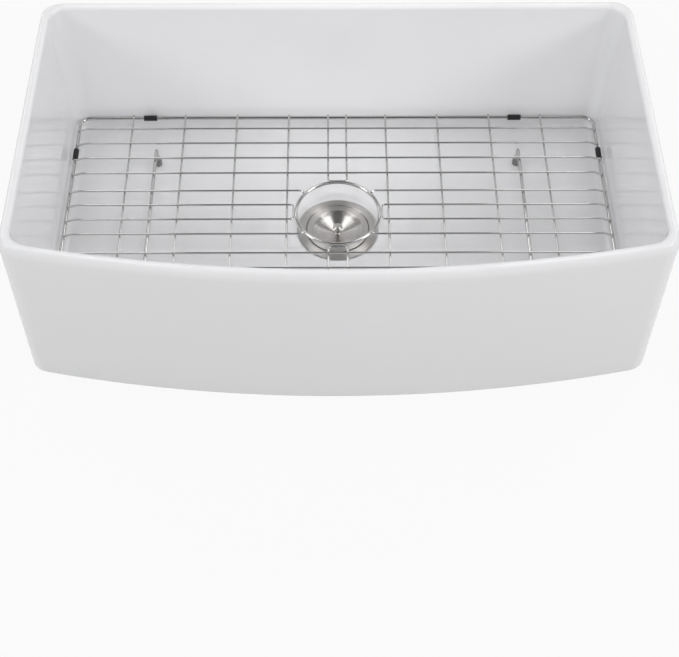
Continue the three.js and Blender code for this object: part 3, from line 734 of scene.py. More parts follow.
def weld_points():
    """Where wires are welded: small beads between thin wires, large ones on the ring and the legs."""
    sizes = bpy.context.scene.sink_grid
    between = (ROW_LEVEL + COLUMN_LEVEL) / 2
    frame_top = FRAME_LEVEL + sizes.frame_wire + BEAD_LIFT
    frame_side = BASIN_HIGH.x - sizes.frame_inset
    rear = BASIN_HIGH.y - sizes.frame_inset
    short, touch = short_wire_row(), ring_touch()
    # A row has its y, how far out it reaches and where it starts, a column its x and where it starts.
    rows = [(node_middle(node).y, corners(node)[1].x, 0) for node in node_names("long_wire")]
    rows += [(y, frame_side, 60 * MM) for y in (short, -short)]
    rows += [(sign * side_hairpin_row(), frame_side, touch) for sign in (1, -1)]
    columns = [(node_middle(node).x, 0) for node in node_names("cross_wire")]
    columns += [(sign * end_hairpin_column(), touch) for sign in (1, -1)]
    small = []
    for y, reach, gap in rows:
        small += [(x, y, between) for x, clear in columns if gap < abs(x) < reach + MM and abs(y) > clear]
        if reach > frame_side - MM:
            small += [(side * frame_side, y, frame_top) for side in (-1, 1)]
    for x, _ in columns:
        small += [(x, rear, frame_top), (x, front_line(sizes.frame_inset, x), frame_top)]
    large = []
    for side in ("left", "right"):
        x = node_middle(f"leg_wire_{side}").x
        back, front = (node_middle(f"foot_{side}_{end}").y for end in ("rear", "front"))
        large += [
            (x, y, ROW_LEVEL - sizes.thin_wire - BEAD_LIFT) for y, _, _ in rows
            if front + LEG_CLEAR < y < back - LEG_CLEAR
        ]
    contact = RING_HIGH.x
    turn = math.asin(short / (contact + SHORT_BEND))
    for front in (-1, 1):
        large.append((0, front * contact, (COLUMN_LEVEL + RING_LEVEL) / 2))
        large.append((front * contact, 0, (ROW_LEVEL + RING_LEVEL) / 2))
        for side in (-1, 1):
            large.append((side * contact * math.cos(turn), front * contact * math.sin(turn), between))
    return small, large


# ---- Materials ----

NOISE_SPREAD = (0.3, 0.7)  # where most of a noise lies


def finish_material(name):
    """A new material with its shader and the helper of its nodes, or one that is there already, alone."""
    material = bpy.data.materials.get(name)
    if material:
        return material, None, None
    material = bpy.data.materials.new(name)
    material.use_nodes = True
    return material, material.node_tree.nodes["Principled BSDF"], node_adder(material.node_tree)


def shade(tone, factor):
    return tuple(value * factor for value in tone)


def tinted(add, factor, dark, light):
    """Mixes two tones, or two sources, of a colour by a factor from 0 to 1."""
    tones = [tone if isinstance(tone, bpy.types.NodeSocket) else (*tone, 1) for tone in (dark, light)]
    return add("ShaderNodeMix", {0: factor, 6: tones[0], 7: tones[1]}, data_type="RGBA").outputs[2]


def levels(add, value, low, high, to_low, to_high):
    node = add("ShaderNodeMapRange", {
        "Value": value, "From Min": low, "From Max": high, "To Min": to_low, "To Max": to_high,
    })
    return node.outputs["Result"]


def uneven(add, source, low, high):
    """A value that wanders from low to high with a noise."""
    return levels(add, source, *NOISE_SPREAD, low, high)


def noise(add, place, scale, detail, distortion=0.0):
    node = add("ShaderNodeTexNoise", {"Vector": place}, Scale=scale, Detail=detail, Distortion=distortion)
    return node.outputs["Fac"]


def bump(add, height, strength, distance, **normal):
    node = add("ShaderNodeBump", {"Height": height, **normal}, Strength=strength, Distance=distance)
    return node.outputs["Normal"]


def mottled_material(name, dark, light, blotches, roughness, grain, metallic=0.0):
    """A material with blotches of two tones, which are also duller or shinier, and a fine grain on it.

    The blotches are given as scale, detail and distortion of a noise, and the grain as the same and then the
    strength and the distance of its bump.
    """
    material, shader, add = finish_material(name)
    if add:
        place = add("ShaderNodeTexCoord").outputs["Object"]
        spots = noise(add, place, *blotches)
        *fine, strength, distance = grain
        add.feed(shader, {
            "Base Color": tinted(add, spots, dark, light), "Metallic": metallic,
            "Roughness": uneven(add, spots, *roughness),
            "Normal": bump(add, noise(add, place, *fine), strength, distance),
        })
    return material


def glaze_material():
    """Thick white glaze: glossy, very slightly wavy, with a bare underside."""
    material, shader, add = finish_material("Fireclay Glaze")
    if add:
        finish = bpy.context.scene.sink_finish
        place = add("ShaderNodeTexCoord").outputs["Object"]
        clouds = noise(add, place, 9.0, 3.0)
        level = add("ShaderNodeSeparateXYZ", {"Vector": place}).outputs["Z"]
        bare = levels(add, level, 0.0004, 0.0016, 1.0, 0.0)
        glazed = tinted(add, clouds, shade(finish.glaze, 0.985), finish.glaze)
        raw = tinted(add, noise(add, place, 900.0, 4.0), shade(finish.bisque, 0.75), finish.bisque)
        rough = add("ShaderNodeMix", {0: bare, 2: uneven(add, clouds, 0.04, 0.075), 3: 0.8}, data_type="FLOAT")
        slow = bump(add, noise(add, place, 26.0, 1.0), 0.12, 0.0012)
        fine = bump(add, noise(add, place, 420.0, 2.0), 0.035, 0.0002, Normal=slow)
        add.feed(shader, {
            "Base Color": tinted(add, bare, glazed, raw), "Roughness": rough.outputs[0], "Normal": fine,
        })
    return material


def spun_steel_material():
    """Steel finished on a lathe: fine circles round the drain axis and highlights that fan out."""
    material, shader, add = finish_material("Spun Steel")
    if add:
        steel = bpy.context.scene.sink_finish.spun_steel
        place = add("ShaderNodeTexCoord").outputs["Object"]
        across = add("ShaderNodeVectorMath", {0: place, 1: (1, 1, 0)}, operation="MULTIPLY")
        span = add("ShaderNodeVectorMath", {0: across.outputs["Vector"]}, operation="LENGTH")
        radius = span.outputs["Value"]
        level = add("ShaderNodeSeparateXYZ", {"Vector": place}).outputs["Z"]
        circles = add("ShaderNodeCombineXYZ", {"X": radius, "Z": level}).outputs["Vector"]
        wander = uneven(add, noise(add, place, 45.0, 4.0), -0.012, 0.012)
        duller = levels(add, radius, 0.034, 0.043, 0.25, 0.42)
        add.feed(shader, {
            "Metallic": 1.0, "Anisotropic": 0.94, "Anisotropic Rotation": 0.25,
            "Base Color": tinted(add, noise(add, circles, 320.0, 2.0), shade(steel, 0.9), steel),
            "Roughness": add("ShaderNodeMath", {0: duller, 1: wander}, operation="ADD").outputs["Value"],
            "Tangent": add("ShaderNodeTangent", direction_type="RADIAL", axis="Z").outputs["Tangent"],
            "Normal": bump(add, noise(add, circles, 2600.0, 3.0), 0.1, 0.0001),
        })
    return material


def wire_steel_material():
    """Drawn and polished steel wire, with faint marks along it."""
    steel = bpy.context.scene.sink_finish.wire_steel
    return mottled_material("Polished Wire", shade(steel, 0.88), steel, (35.0, 2.0), (0.05, 0.11),
                            (700.0, 3.0, 0.05, 0.0001), 1.0)


def rubber_material(name, tone):
    """Moulded rubber: a fine grain and a little bloom."""
    pale = tuple(min(value * 1.9 + 0.006, 1) for value in tone)
    return mottled_material(name, tone, pale, (160.0, 3.0), (0.45, 0.68), (1800.0, 3.0, 0.25, 0.0002))


def black_rubber_material():
    return rubber_material("Black Rubber", bpy.context.scene.sink_finish.black_rubber)


def grey_rubber_material():
    return rubber_material("Grey Rubber", bpy.context.scene.sink_finish.grey_rubber)


def fibre_material():
    """Pressed fibre of the thin washer."""
    tone = bpy.context.scene.sink_finish.fibre
    strands = (650.0, 6.0, 1.5)
    return mottled_material("Pressed Fibre", shade(tone, 0.7), tone, strands, (0.85, 0.85),
                            (*strands, 0.4, 0.0002))


def cast_metal_material():
    """Die-cast metal of the lock nut."""
    tone = bpy.context.scene.sink_finish.cast_metal
    return mottled_material("Cast Metal", shade(tone, 0.72), tone, (120.0, 5.0, 0.6), (0.36, 0.52),
                            (1500.0, 3.0, 0.2, 0.0002), 1.0)


# ---- One operator for each piece or group of like pieces ----

# Sizes in millimetres of what can't be seen from above.
SEAL_BORE = 47.6  # inside radius of the seal under the flange
WASHER_BORE = 42.4  # inside radius of the washers and the nut
LID_SEAL_BORE = 41.85  # inside radius of the gasket of the lid
NUT_ROOT, NUT_RIB, NUT_THREAD = 49.6, 51.4, 0.6  # radii between and on its ribs, and depth of its thread
NECK_THREAD = (-16.0, 20.0)  # levels between which the neck is threaded
HOLE_RINGS = ((8.17, 4), (16.33, 8), (24.5, 14))  # radius and number of the holes in the basket

SMALL_BEAD, LARGE_BEAD = 1.35 * MM, 1.7 * MM
BEAD_SCALE = (1.0, 1.0, 0.62)


class SINK_OT_basin(bpy.types.Operator):
    """Makes the glazed basin with its bowed apron"""

    bl_idname = "sink.basin"
    bl_label = "Basin"

    def execute(self, context):
        rings = basin_rings()
        faces = ring_faces(len(rings), len(rings[0]), True)
        piece = mesh_piece("basin", np.concatenate(rings), faces, glaze_material())
        finished(piece, "basin", ["sink_basin"])
        return {"FINISHED"}


class SINK_OT_strainer_body(bpy.types.Operator):
    """Makes the strainer body with its flange, ledge, neck and threaded outlet"""

    bl_idname = "sink.strainer_body"
    bl_label = "Strainer Body"

    def execute(self, context):
        sizes = context.scene.sink_strainer
        edge, crest = BODY_HIGH.x / MM, sizes.crest_radius / MM
        top, bottom = BODY_HIGH.z / MM, BODY_LOW.z / MM
        ledge, bore, sheet = sizes.ledge_radius / MM, sizes.bore / MM, sizes.sheet / MM
        outlet = sizes.outlet_bore / MM
        outer_neck, outer_outlet = bore + 2, outlet + 3.3
        under = top - 2.3
        shelf = top - 2.5
        pitch, depth = sizes.thread_pitch / MM, sizes.thread_depth / MM
        neck_low, neck_high = NECK_THREAD
        outlet_high = bottom + 17

        def thread(radius, level, angle):
            on_neck = neck_low < level < neck_high and abs(radius - outer_neck) < 0.05
            on_outlet = bottom + 1 < level < outlet_high and abs(radius - outer_outlet) < 0.05
            if not on_neck and not on_outlet:
                return radius
            return radius - groove(level, angle, pitch, depth)

        profile = [
            (edge, under, 0.2), (edge, under + 0.8, 0.25), (edge - 0.6, under + 1.15, 0.4), (crest, top, 2.0),
            (ledge + 1, top, 0.5), (ledge, top - 0.9, 0.4), (ledge, shelf, 0.4),
            (bore + 0.7, shelf, 0.5), (bore, shelf - 0.8, 0.4), (bore, -17, 1.6),
            (bore - 3.5, -23.3, 1.5), (outlet + 1.5, -30, 2.0), (outlet, -31.6, 0.6), (outlet, bottom, 0.4),
            *threaded(outer_outlet, bottom + 0.4, outlet_high, 0.3),
            (outer_outlet, -33.2, 1.5), (bore - 2.5, -25.4, 1.5),
            *threaded(outer_neck, -17.6, neck_high, 0.3),
            (outer_neck, shelf - sheet, 0.8), (ledge + sheet, shelf - sheet, 0.8), (ledge + sheet, under, 0.3),
        ]
        piece = turned("strainer_flange_and_bowl", profile, spun_steel_material(), facets=144, shape=thread)
        finished(piece, "basin", ["strainer_body"])
        return {"FINISHED"}


class SINK_OT_seals(bpy.types.Operator):
    """Makes the flange gasket, the rubber washer and the fibre washer"""

    bl_idname = "sink.seals"
    bl_label = "Seals"

    def execute(self, context):
        seals = (
            ("flange_gasket", "drain_seal", black_rubber_material(), "black_rubber", SEAL_BORE, 0.3),
            ("rubber_washer", "thick_washer", black_rubber_material(), "black_rubber", WASHER_BORE, 0.7),
            ("fibre_washer", "thin_washer", fibre_material(), "fibre", WASHER_BORE, 0.25),
        )
        for node, name, material, slot, inner, soft in seals:
            low, high = (corner / MM for corner in corners(node))
            outer = high.x
            profile = [
                (inner, low.z, soft), ((inner + outer) / 2, low.z, 0), (outer, low.z, soft),
                (outer, high.z, soft), ((inner + outer) / 2, high.z, 0), (inner, high.z, soft),
            ]
            finished(turned(name, profile, material), "basin", [node])
        return {"FINISHED"}


class SINK_OT_lock_nut(bpy.types.Operator):
    """Makes the ribbed lock nut with its lugs"""

    bl_idname = "sink.lock_nut"
    bl_label = "Lock Nut"

    def execute(self, context):
        sizes = context.scene.sink_strainer
        low, high = (corner / MM for corner in corners("lock_nut"))
        inner, reach = WASHER_BORE, high.x
        root, rib = NUT_ROOT, NUT_RIB
        ribs, lugs = sizes.nut_ribs, sizes.nut_lugs

        def ribbed(radius, level, angle):
            if radius < inner + 0.05 and low.z + 1 < level < high.z - 1:
                return radius + groove(level, angle, sizes.thread_pitch / MM, NUT_THREAD)
            if radius < root - 1:
                return radius
            number, part = divmod(angle * ribs / (2 * math.pi), 1)
            wave = min(max((0.3 - abs(part - 0.4)) / 0.13, 0), 1)
            tall = int(number) % (ribs // lugs) == 0
            return radius + wave * ((reach if tall else rib) - root)

        middle = (inner + root) / 2
        profile = [
            (inner + 0.9, low.z, 0.3), (middle, low.z, 0), (root - 1.4, low.z, 0.3), (root, low.z + 1.1, 0.4),
            (root, (low.z + high.z) / 2, 0), (root, high.z - 1.1, 0.4), (root - 1.4, high.z, 0.3),
            (middle, high.z, 0), (inner + 0.9, high.z, 0.3), (inner, high.z - 0.9, 0.2),
            *threaded(inner, high.z - 1.2, low.z + 1.2, 0.3),
            (inner, low.z + 0.9, 0.2),
        ]
        piece = turned("ribbed_nut", profile, cast_metal_material(), facets=432, shape=ribbed)
        finished(piece, "basin", ["lock_nut"])
        return {"FINISHED"}


class SINK_OT_basket(bpy.types.Operator):
    """Makes the lift-out basket and cuts the rings of holes in its bottom"""

    bl_idname = "sink.basket"
    bl_label = "Basket"

    def execute(self, context):
        sizes = context.scene.sink_strainer
        lip, low, high = BASKET_HIGH.x / MM, BASKET_LOW.z / MM, BASKET_HIGH.z / MM
        sheet = sizes.sheet / MM
        wall = sizes.bore / MM - 2.5
        floor = wall - 7.5
        under = high - sheet
        profile = [
            (0, low, 0), (floor * 0.5, low, 0), (floor, low, 1.4), (floor + 1.3, low + 1.6, 0.8),
            (wall, under - 3, 1.0), (wall, under, 0.4), (lip, under, 0.35), (lip, high, 0.45),
            (wall - sheet, high, 0.7), (wall - sheet, under - 3.2, 1.0), (floor, low + sheet + 1.1, 1.0),
            (floor - 1, low + sheet, 0.6), (floor * 0.5, low + sheet, 0), (0, low + sheet, 0),
        ]
        cup = turned("perforated_basket", profile, spun_steel_material(), closed=False, facets=96)
        rings = {}
        for ring, (radius, holes) in zip(("inner", "middle", "outer"), HOLE_RINGS):
            rings.update({f"{ring}_ring_radius": radius * MM, f"{ring}_ring_holes": holes})
        piece = through_nodes(
            cup, perforation_tree(), hole_radius=sizes.hole_radius, hole_level=(low + sheet / 2) * MM,
            hole_depth=4 * sizes.sheet, **rings, material=spun_steel_material(),
        )
        piece.data.set_sharp_from_angle(angle=math.radians(40))
        finished(piece, "basket", ["strainer_basket"])
        return {"FINISHED"}


class SINK_OT_lid_plate(bpy.types.Operator):
    """Makes the spun lid with its flat rim and conical dish"""

    bl_idname = "sink.lid_plate"
    bl_label = "Lid Plate"

    def execute(self, context):
        sizes = context.scene.sink_strainer
        edge, top = PLATE_HIGH.x / MM, PLATE_HIGH.z / MM
        dish, deep = sizes.dish_radius / MM, sizes.dish_depth / MM
        sheet = 1.1
        under = top - sheet
        hub = under - deep
        profile = [
            (0, hub, 0), (4.5, hub, 0), (7, hub, 1.2), (9, hub + 0.35, 1.5), (20, hub + 4.0, 0),
            (dish - 3.2, under - 1.6, 2.0), (dish, under + 0.2, 1.6), (dish + 1.6, top, 1.4),
            (edge - 4, top, 0), (edge, top, 0.5), (edge, under, 0.35), (edge - 4, under, 0),
            (dish + 1.8, under, 1.4), (dish - 2.9, under - 1.6 - sheet, 1.6), (20.4, hub + 4.0 - sheet, 0),
            (9.3, hub + 0.35 - sheet, 1.5), (7.3, hub - sheet, 1.2), (0, hub - sheet, 0),
        ]
        piece = turned("spun_lid", profile, spun_steel_material(), closed=False, facets=144)
        finished(piece, "lid", ["lid_plate"])
        return {"FINISHED"}


class SINK_OT_lid_knob(bpy.types.Operator):
    """Makes the mushroom knob of the lid"""

    bl_idname = "sink.lid_knob"
    bl_label = "Lid Knob"

    def execute(self, context):
        radius, low, high = KNOB_HIGH.x / MM, KNOB_LOW.z / MM, KNOB_HIGH.z / MM
        waist = context.scene.sink_strainer.knob_waist / MM
        profile = [
            (0, low, 0), (5.4, low, 0.4), (5.0, low + 1, 0.5), (waist + 0.6, low + 2.4, 1.0),
            (waist, low + 4.6, 1.5), (waist + 0.3, high - 5.8, 1.0), (radius - 2.4, high - 3.8, 1.2),
            (radius - 0.2, high - 2.6, 0.7), (radius, high - 1.6, 0.5), (radius - 0.9, high - 0.7, 0.6),
            (radius * 0.45, high - 0.06, 1.5), (0, high, 0),
        ]
        piece = turned("mushroom_knob", profile, spun_steel_material(), closed=False, facets=72)
        finished(piece, "lid", ["lid_knob"])
        return {"FINISHED"}


class SINK_OT_lid_gasket(bpy.types.Operator):
    """Makes the gasket under the rim of the lid"""

    bl_idname = "sink.lid_gasket"
    bl_label = "Lid Gasket"

    def execute(self, context):
        low, high = (corner / MM for corner in corners("lid_gasket"))
        outer, inner = high.x, LID_SEAL_BORE
        middle = (low.z + high.z) / 2
        profile = [
            (inner, low.z, 0.4), (outer, low.z, 0.35), (outer, middle - 0.25, 0.1),
            (outer - 0.35, middle, 0.2), (outer, middle + 0.25, 0.1), (outer, high.z, 0.35),
            (inner, high.z, 0.4),
        ]
        piece = turned("lid_seal", profile, black_rubber_material())
        finished(piece, "lid", ["lid_gasket"])
        return {"FINISHED"}


def grid_piece(name, paths, radius, nodes, **how):
    piece = wires(name, paths, radius, wire_steel_material(), **how)
    return finished(piece, "grid", nodes)


class SINK_OT_grid_frame(bpy.types.Operator):
    """Makes the thick frame wire of the grid"""

    bl_idname = "sink.grid_frame"
    bl_label = "Grid Frame"

    def execute(self, context):
        sizes = context.scene.sink_grid
        outline = plan_outline(sizes.frame_inset, sizes.frame_corner, sizes.frame_corner)
        path = [(x, y, FRAME_LEVEL) for x, y in outline]
        grid_piece("frame_wire", [path], sizes.frame_wire, node_names("grid_frame"), facets=20, endless=True)
        return {"FINISHED"}


class SINK_OT_grid_ring(bpy.types.Operator):
    """Makes the ring of the grid over the drain"""

    bl_idname = "sink.grid_ring"
    bl_label = "Grid Ring"

    def execute(self, context):
        sizes = context.scene.sink_grid
        radius = RING_HIGH.x - sizes.ring_wire
        path = [(x, y, RING_LEVEL) for x, y in arc(0, 0, radius, 0, 2 * math.pi, 120)]
        grid_piece("drain_ring", [path], sizes.ring_wire, ["grid_ring"], facets=20, endless=True)
        return {"FINISHED"}


class SINK_OT_thin_wires(bpy.types.Operator):
    """Makes the wires from side to side and from back to front, and those that end at the ring"""

    bl_idname = "sink.thin_wires"
    bl_label = "Thin Wires"

    def execute(self, context):
        for kind, paths in (
                ("long_wire", long_wire_paths), ("short_wire", short_wire_paths),
                ("side_hairpin", side_hairpin_paths), ("end_hairpin", end_hairpin_paths),
                ("cross_wire", cross_wire_paths)):
            grid_piece(kind + "s", paths(), context.scene.sink_grid.thin_wire, node_names(kind))
        return {"FINISHED"}


class SINK_OT_leg_wires(bpy.types.Operator):
    """Makes the two wires that carry the feet"""

    bl_idname = "sink.leg_wires"
    bl_label = "Leg Wires"

    def execute(self, context):
        thick = context.scene.sink_grid.ring_wire
        grid_piece("leg_wires", leg_wire_paths(), thick, node_names("leg_wire"), facets=18)
        return {"FINISHED"}


class SINK_OT_welds(bpy.types.Operator):
    """Makes the beads of weld where wires of the grid meet"""

    bl_idname = "sink.welds"
    bl_label = "Welds"

    def execute(self, context):
        small, large = weld_points()
        for name, points, radius in (("small_welds", small, SMALL_BEAD), ("large_welds", large, LARGE_BEAD)):
            piece = through_nodes(
                linked(name, plain_mesh(name, points, [], [])), spot_tree(),
                bead_radius=radius, flatness=BEAD_SCALE, material=wire_steel_material(),
            )
            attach(piece, "grid")
        return {"FINISHED"}


class SINK_OT_feet(bpy.types.Operator):
    """Makes the four ribbed rubber feet"""

    bl_idname = "sink.feet"
    bl_label = "Feet"

    def execute(self, context):
        for node in node_names("foot_"):
            low, high = (corner / MM for corner in corners(node))
            radius = (high.x - low.x) / 2
            height = high.z - low.z
            wire = context.scene.sink_grid.ring_wire / MM + 0.25
            side = []
            for base in (3.2, 6.2, 9.2):
                side += [
                    (radius, base - 0.9, 0.35), (radius - 0.45, base - 0.45, 0.3),
                    (radius - 0.45, base + 0.45, 0.3), (radius, base + 0.9, 0.35),
                ]
            profile = [
                (0, 0.5, 0), (2.2, 0.5, 0.3), (2.9, 0, 0.3), (radius - 0.5, 0, 0.5), (radius, 0.8, 0.5), *side,
                (radius, height - 1.2, 0.4), (radius - 1.0, height, 0.6), (wire + 0.2, height, 0.3),
                (wire, height - 0.5, 0.2), (wire, 4, 0.3), (0, 4, 0),
            ]
            name = node.replace("foot_", "rubber_foot_")
            piece = turned(name, profile, grey_rubber_material(), closed=False, facets=56)
            middle = node_middle(node)
            for vertex in piece.data.vertices:
                vertex.co += Vector((middle.x, middle.y, low.z * MM))
            finished(piece, "grid", [node])
        return {"FINISHED"}


def bumper_mesh(name, middle, along, span):
    """A slit rubber sleeve round the frame wire, its slit below and its ends rounded."""
    sizes = bpy.context.scene.sink_grid
    inner = sizes.frame_wire + 0.12 * MM
    outer = inner + sizes.bumper_wall
    half_slit = math.asin(sizes.bumper_slit / 2 / outer)
    sideways = Vector((-along.y, along.x, 0))
    centre = (inner + outer) / 2
    steps = 40
    turns = [half_slit + (2 * math.pi - 2 * half_slit) * i / steps for i in range(steps + 1)]
    ends = ((0, 0.45), (0.08, 0.78), (0.3, 0.95), (0.7, 1.0))  # from its end inwards, and share of its wall
    rings = [(-span / 2 + place * MM, full) for place, full in ends]
    rings += [(-end, full) for end, full in reversed(rings)]
    vertices = []
    for offset, full in rings:
        wall = (outer - inner) / 2 * full
        loop = [(centre + wall, turn) for turn in turns] + [(centre - wall, turn) for turn in reversed(turns)]
        for radius, turn in loop:
            across = sideways * math.sin(turn) * radius
            vertices.append(middle + along * offset + across + Vector((0, 0, -math.cos(turn) * radius)))
    size = 2 * (steps + 1)
    faces = ring_faces(len(rings), size, False)
    last = (len(rings) - 1) * size
    for i in range(steps):
        faces.append((i, i + 1, size - 2 - i, size - 1 - i))
        faces.append((last + i, last + i + 1, last + size - 2 - i, last + size - 1 - i))
    piece = mesh_piece(name, vertices, faces, black_rubber_material())
    piece.data.set_sharp_from_angle(angle=math.radians(55))
    return piece


class SINK_OT_bumpers(bpy.types.Operator):
    """Makes the eight rubber bumpers on the frame wire"""

    bl_idname = "sink.bumpers"
    bl_label = "Bumpers"

    def execute(self, context):
        for node in node_names("bumper_"):
            low, high = corners(node)
            middle = (low + high) / 2
            if high.x - low.x < high.y - low.y:
                along, span = Vector((0, 1, 0)), high.y - low.y
            else:
                inset = context.scene.sink_grid.frame_inset
                rise = 0
                if middle.y < 0:
                    rise = front_line(inset, middle.x + MM) - front_line(inset, middle.x - MM)
                along = Vector((2 * MM, rise, 0)).normalized()
                span = corners("bumper_left_rear")[1].y - corners("bumper_left_rear")[0].y
                if middle.y < 0:
                    middle.y = front_line(inset, middle.x)
            middle.z = FRAME_LEVEL
            piece = bumper_mesh(node.replace("bumper_", "rubber_bumper_"), middle, along, span)
            finished(piece, "grid", [node])
        return {"FINISHED"}


# ---- Studio ----

FLOOR_LEVEL = -0.4 * MM  # just under the basin
FLOOR_HOLE, FLOOR_REACH = 0.075, 9.0  # radii of the floor
FLOOR_WHITE = 0.92  # share of plain white in what is seen of the floor

# Parts of the painted studio, by the x, y or z of the direction to them, and where one fades into the next.
DARK_SIDE, DARK_BACK = (0.17, 0.23), (0.26, 0.38)
FLAG_SIDE, LOW_TO_HIGH = (0.45, 0.75), (0.1, 0.4)
STRIP_SIDE, STRIP_MIDDLE, STRIP_HALF = (0.27, 0.35), 0.69, (0.07, 0.12)

# Places of the lamps, those at the sides for the right one, and what they aim at.
WINDOW_PLACE, WINDOW_SIZE = (1.05, 1.1, 3.4), (0.7, 1.8)
KEY_PLACE, KEY_SIZE = (2.8, -0.9, 1.9), (1.0, 1.0)
FILL_PLACE, FILL_SIZE = (0, -3.4, 2.0), (2.4, 1.2)
SPOT_PLACE, SPOT_AIM = (0, -0.5, 3.4), (0, 0.2, 0.05)
SPOT_CONE, SPOT_BLEND, SPOT_RADIUS = math.radians(12), 0.7, 0.35
LAMP_AIM = (0, 0.1, 0.1)

CAMERA_PLACE = (-0.0121, -1.2954, 1.4728)
CAMERA_TURN = math.radians(-0.207)


def floor_material():
    """White studio floor that keeps a soft shadow."""
    material, shader, add = finish_material("Studio Floor")
    if add:
        add.feed(shader, {"Base Color": (0.5, 0.5, 0.5, 1), "Roughness": 0.9})
        path = add("ShaderNodeLightPath").outputs
        seen = path["Is Camera Ray"]
        for ray in ("Is Glossy Ray", "Is Transmission Ray"):
            seen = add("ShaderNodeMath", {0: seen, 1: path[ray]}, operation="MAXIMUM").outputs["Value"]
        white = add("ShaderNodeEmission", Color=(1, 1, 1, 1)).outputs["Emission"]
        part = add("ShaderNodeMath", {0: seen, 1: FLOOR_WHITE}, operation="MULTIPLY").outputs["Value"]
        mix = add("ShaderNodeMixShader", {"Fac": part, 1: shader.outputs["BSDF"], 2: white})
        add.feed(material.node_tree.nodes["Material Output"], {"Surface": mix.outputs["Shader"]})
    return material


def make_floor():
    """A wide white disc just under the basin, open round the drain."""
    steps = 96
    circle = [(math.cos(2 * math.pi * i / steps), math.sin(2 * math.pi * i / steps)) for i in range(steps)]
    radii = (FLOOR_HOLE, FLOOR_REACH)
    vertices = [(x * radius, y * radius, FLOOR_LEVEL) for radius in radii for x, y in circle]
    floor = linked("studio_floor", plain_mesh("studio_floor", vertices, [], ring_faces(2, steps, False)))
    floor.data.materials.append(floor_material())


def make_world():
    """A studio painted round the sink by direction.

    The sides and the back are bright. A dark part reaches from the front to overhead, so that the wires that
    run from side to side mirror something dark. Two strips high behind are for the wires from front to back.
    """
    studio = bpy.context.scene.sink_studio
    world = bpy.data.worlds.new("Studio")
    bpy.context.scene.world = world
    world.use_nodes = True
    add = node_adder(world.node_tree)

    def step(value, edges, low=0.0, high=1.0):
        node = add("ShaderNodeMapRange", interpolation_type="SMOOTHSTEP", sources={
            "Value": value, "From Min": edges[0], "From Max": edges[1], "To Min": low, "To Max": high,
        })
        return node.outputs["Result"]

    def maths(operation, *values):
        return add("ShaderNodeMath", dict(enumerate(values)), operation=operation).outputs["Value"]

    direction = add("ShaderNodeTexCoord").outputs["Generated"]
    split = add("ShaderNodeSeparateXYZ", {"Vector": direction}).outputs
    across, back, up = (split[axis] for axis in "XYZ")
    aside = maths("ABSOLUTE", across)
    lit = maths("MAXIMUM", step(aside, DARK_SIDE), step(back, DARK_BACK))
    off_strip = maths("ABSOLUTE", maths("SUBTRACT", back, STRIP_MIDDLE))
    strips = maths("MULTIPLY", step(aside, STRIP_SIDE), step(off_strip, STRIP_HALF, studio.strip, 0.0))
    high = maths("ADD", step(lit, (0.0, 1.0), studio.overhead, studio.upper), strips)
    low = step(aside, FLAG_SIDE, studio.horizon, studio.flags)
    seen = maths("MULTIPLY", add("ShaderNodeLightPath").outputs["Is Camera Ray"], studio.backdrop)
    strength = maths("MAXIMUM", step(up, LOW_TO_HIGH, low, high), seen)
    add.feed(world.node_tree.nodes["Background"], {"Color": (1, 1, 1, 1), "Strength": strength})


def make_light(name, kind, place, watts, target=None):
    light = linked(name, bpy.data.lights.new(name, kind))
    light.data.energy = watts
    light.location = place
    if target:
        light.rotation_euler = (Vector(target) - Vector(place)).to_track_quat("-Z", "Y").to_euler()
    return light


def make_softbox(name, place, size, watts, target=None):
    light = make_light(name, "AREA", place, watts, target)
    light.data.shape = "RECTANGLE"
    light.data.size, light.data.size_y = size
    return light


def make_lights():
    """Windows high behind, keys low at the sides, and a fill and a spot that nothing mirrors."""
    studio = bpy.context.scene.sink_studio
    for name, side in (("left", -1), ("right", 1)):
        for kind, place, size, aim in (
                ("window", WINDOW_PLACE, WINDOW_SIZE, None), ("key", KEY_PLACE, KEY_SIZE, LAMP_AIM)):
            lamp = f"{name}_{kind}"
            make_softbox(lamp, (side * place[0], *place[1:]), size, getattr(studio, lamp), aim)
    fill = make_softbox("front_fill", FILL_PLACE, FILL_SIZE, studio.front_fill, LAMP_AIM)
    spot = make_light("bowl_spot", "SPOT", SPOT_PLACE, studio.bowl_spot, SPOT_AIM)
    spot.data.spot_size = SPOT_CONE
    spot.data.spot_blend = SPOT_BLEND
    spot.data.shadow_soft_size = SPOT_RADIUS
    for light in (fill, spot):
        light.visible_glossy = False


def make_camera():
    studio = bpy.context.scene.sink_studio
    camera = linked("camera", bpy.data.cameras.new("camera"))
    camera.data.sensor_width = 36
    camera.data.lens = studio.focal_length
    camera.data.shift_x = studio.shift_x
    camera.data.shift_y = studio.shift_y
    camera.data.clip_end = 50
    camera.location = CAMERA_PLACE
    camera.rotation_euler = (math.pi / 2 - studio.pitch, 0, CAMERA_TURN)
    bpy.context.scene.camera = camera


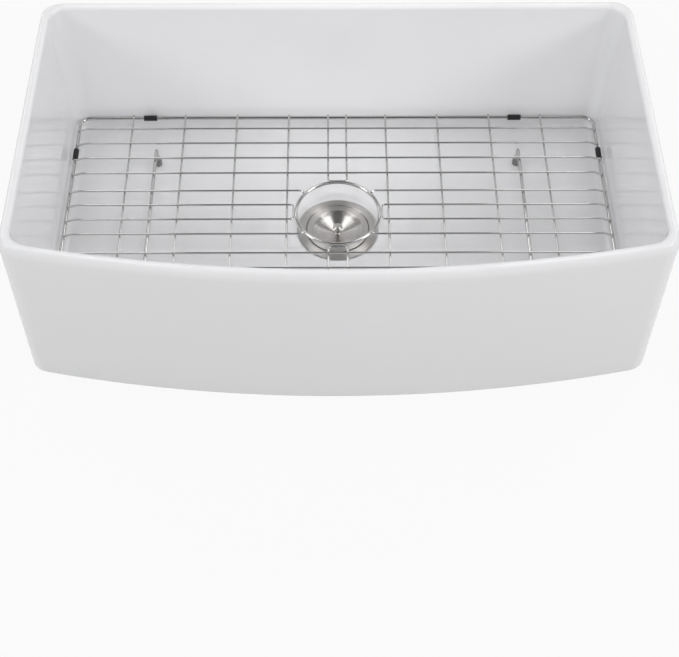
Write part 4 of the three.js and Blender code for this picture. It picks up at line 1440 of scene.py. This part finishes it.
class SINK_OT_studio(bpy.types.Operator):
    """Makes the floor, the studio, the lights and the camera"""

    bl_idname = "sink.studio"
    bl_label = "Studio"

    def execute(self, context):
        make_floor()
        make_world()
        make_lights()
        make_camera()
        context.scene.view_settings.view_transform = "Standard"
        return {"FINISHED"}


PIECES = (
    SINK_OT_basin, SINK_OT_strainer_body, SINK_OT_seals, SINK_OT_lock_nut, SINK_OT_basket, SINK_OT_lid_plate,
    SINK_OT_lid_knob, SINK_OT_lid_gasket, SINK_OT_grid_frame, SINK_OT_grid_ring, SINK_OT_thin_wires,
    SINK_OT_leg_wires, SINK_OT_welds, SINK_OT_feet, SINK_OT_bumpers, SINK_OT_studio,
)

GROUPS = {
    "sink_basin": SINK_PG_basin,
    "sink_strainer": SINK_PG_strainer,
    "sink_grid": SINK_PG_grid,
    "sink_finish": SINK_PG_finish,
    "sink_studio": SINK_PG_studio,
}


class SINK_PT_panel(bpy.types.Panel):
    """Lists the sizes and the pieces of the sink"""

    bl_idname = "SINK_PT_panel"
    bl_label = "Apron Front Sink"
    bl_space_type = "VIEW_3D"
    bl_region_type = "UI"
    bl_category = "Sink"

    def draw(self, context):
        layout = self.layout
        for name, group in GROUPS.items():
            box = layout.box()
            box.label(text=name.replace("_", " ").title())
            for prop in group.__annotations__:
                box.prop(getattr(context.scene, name), prop)
        for piece in PIECES:
            layout.operator(piece.bl_idname)


def register():
    for group in GROUPS.values():
        bpy.utils.register_class(group)
    for piece in PIECES:
        bpy.utils.register_class(piece)
    bpy.utils.register_class(SINK_PT_panel)
    for name, group in GROUPS.items():
        setattr(bpy.types.Scene, name, bpy.props.PointerProperty(type=group))


def unregister():
    for name in GROUPS:
        delattr(bpy.types.Scene, name)
    bpy.utils.unregister_class(SINK_PT_panel)
    for piece in reversed(PIECES):
        bpy.utils.unregister_class(piece)
    for group in reversed(GROUPS.values()):
        bpy.utils.unregister_class(group)


def main():
    register()
    for piece in PIECES:
        family, name = piece.bl_idname.split(".")
        getattr(getattr(bpy.ops, family), name)()


if __name__ == "__main__":
    main()
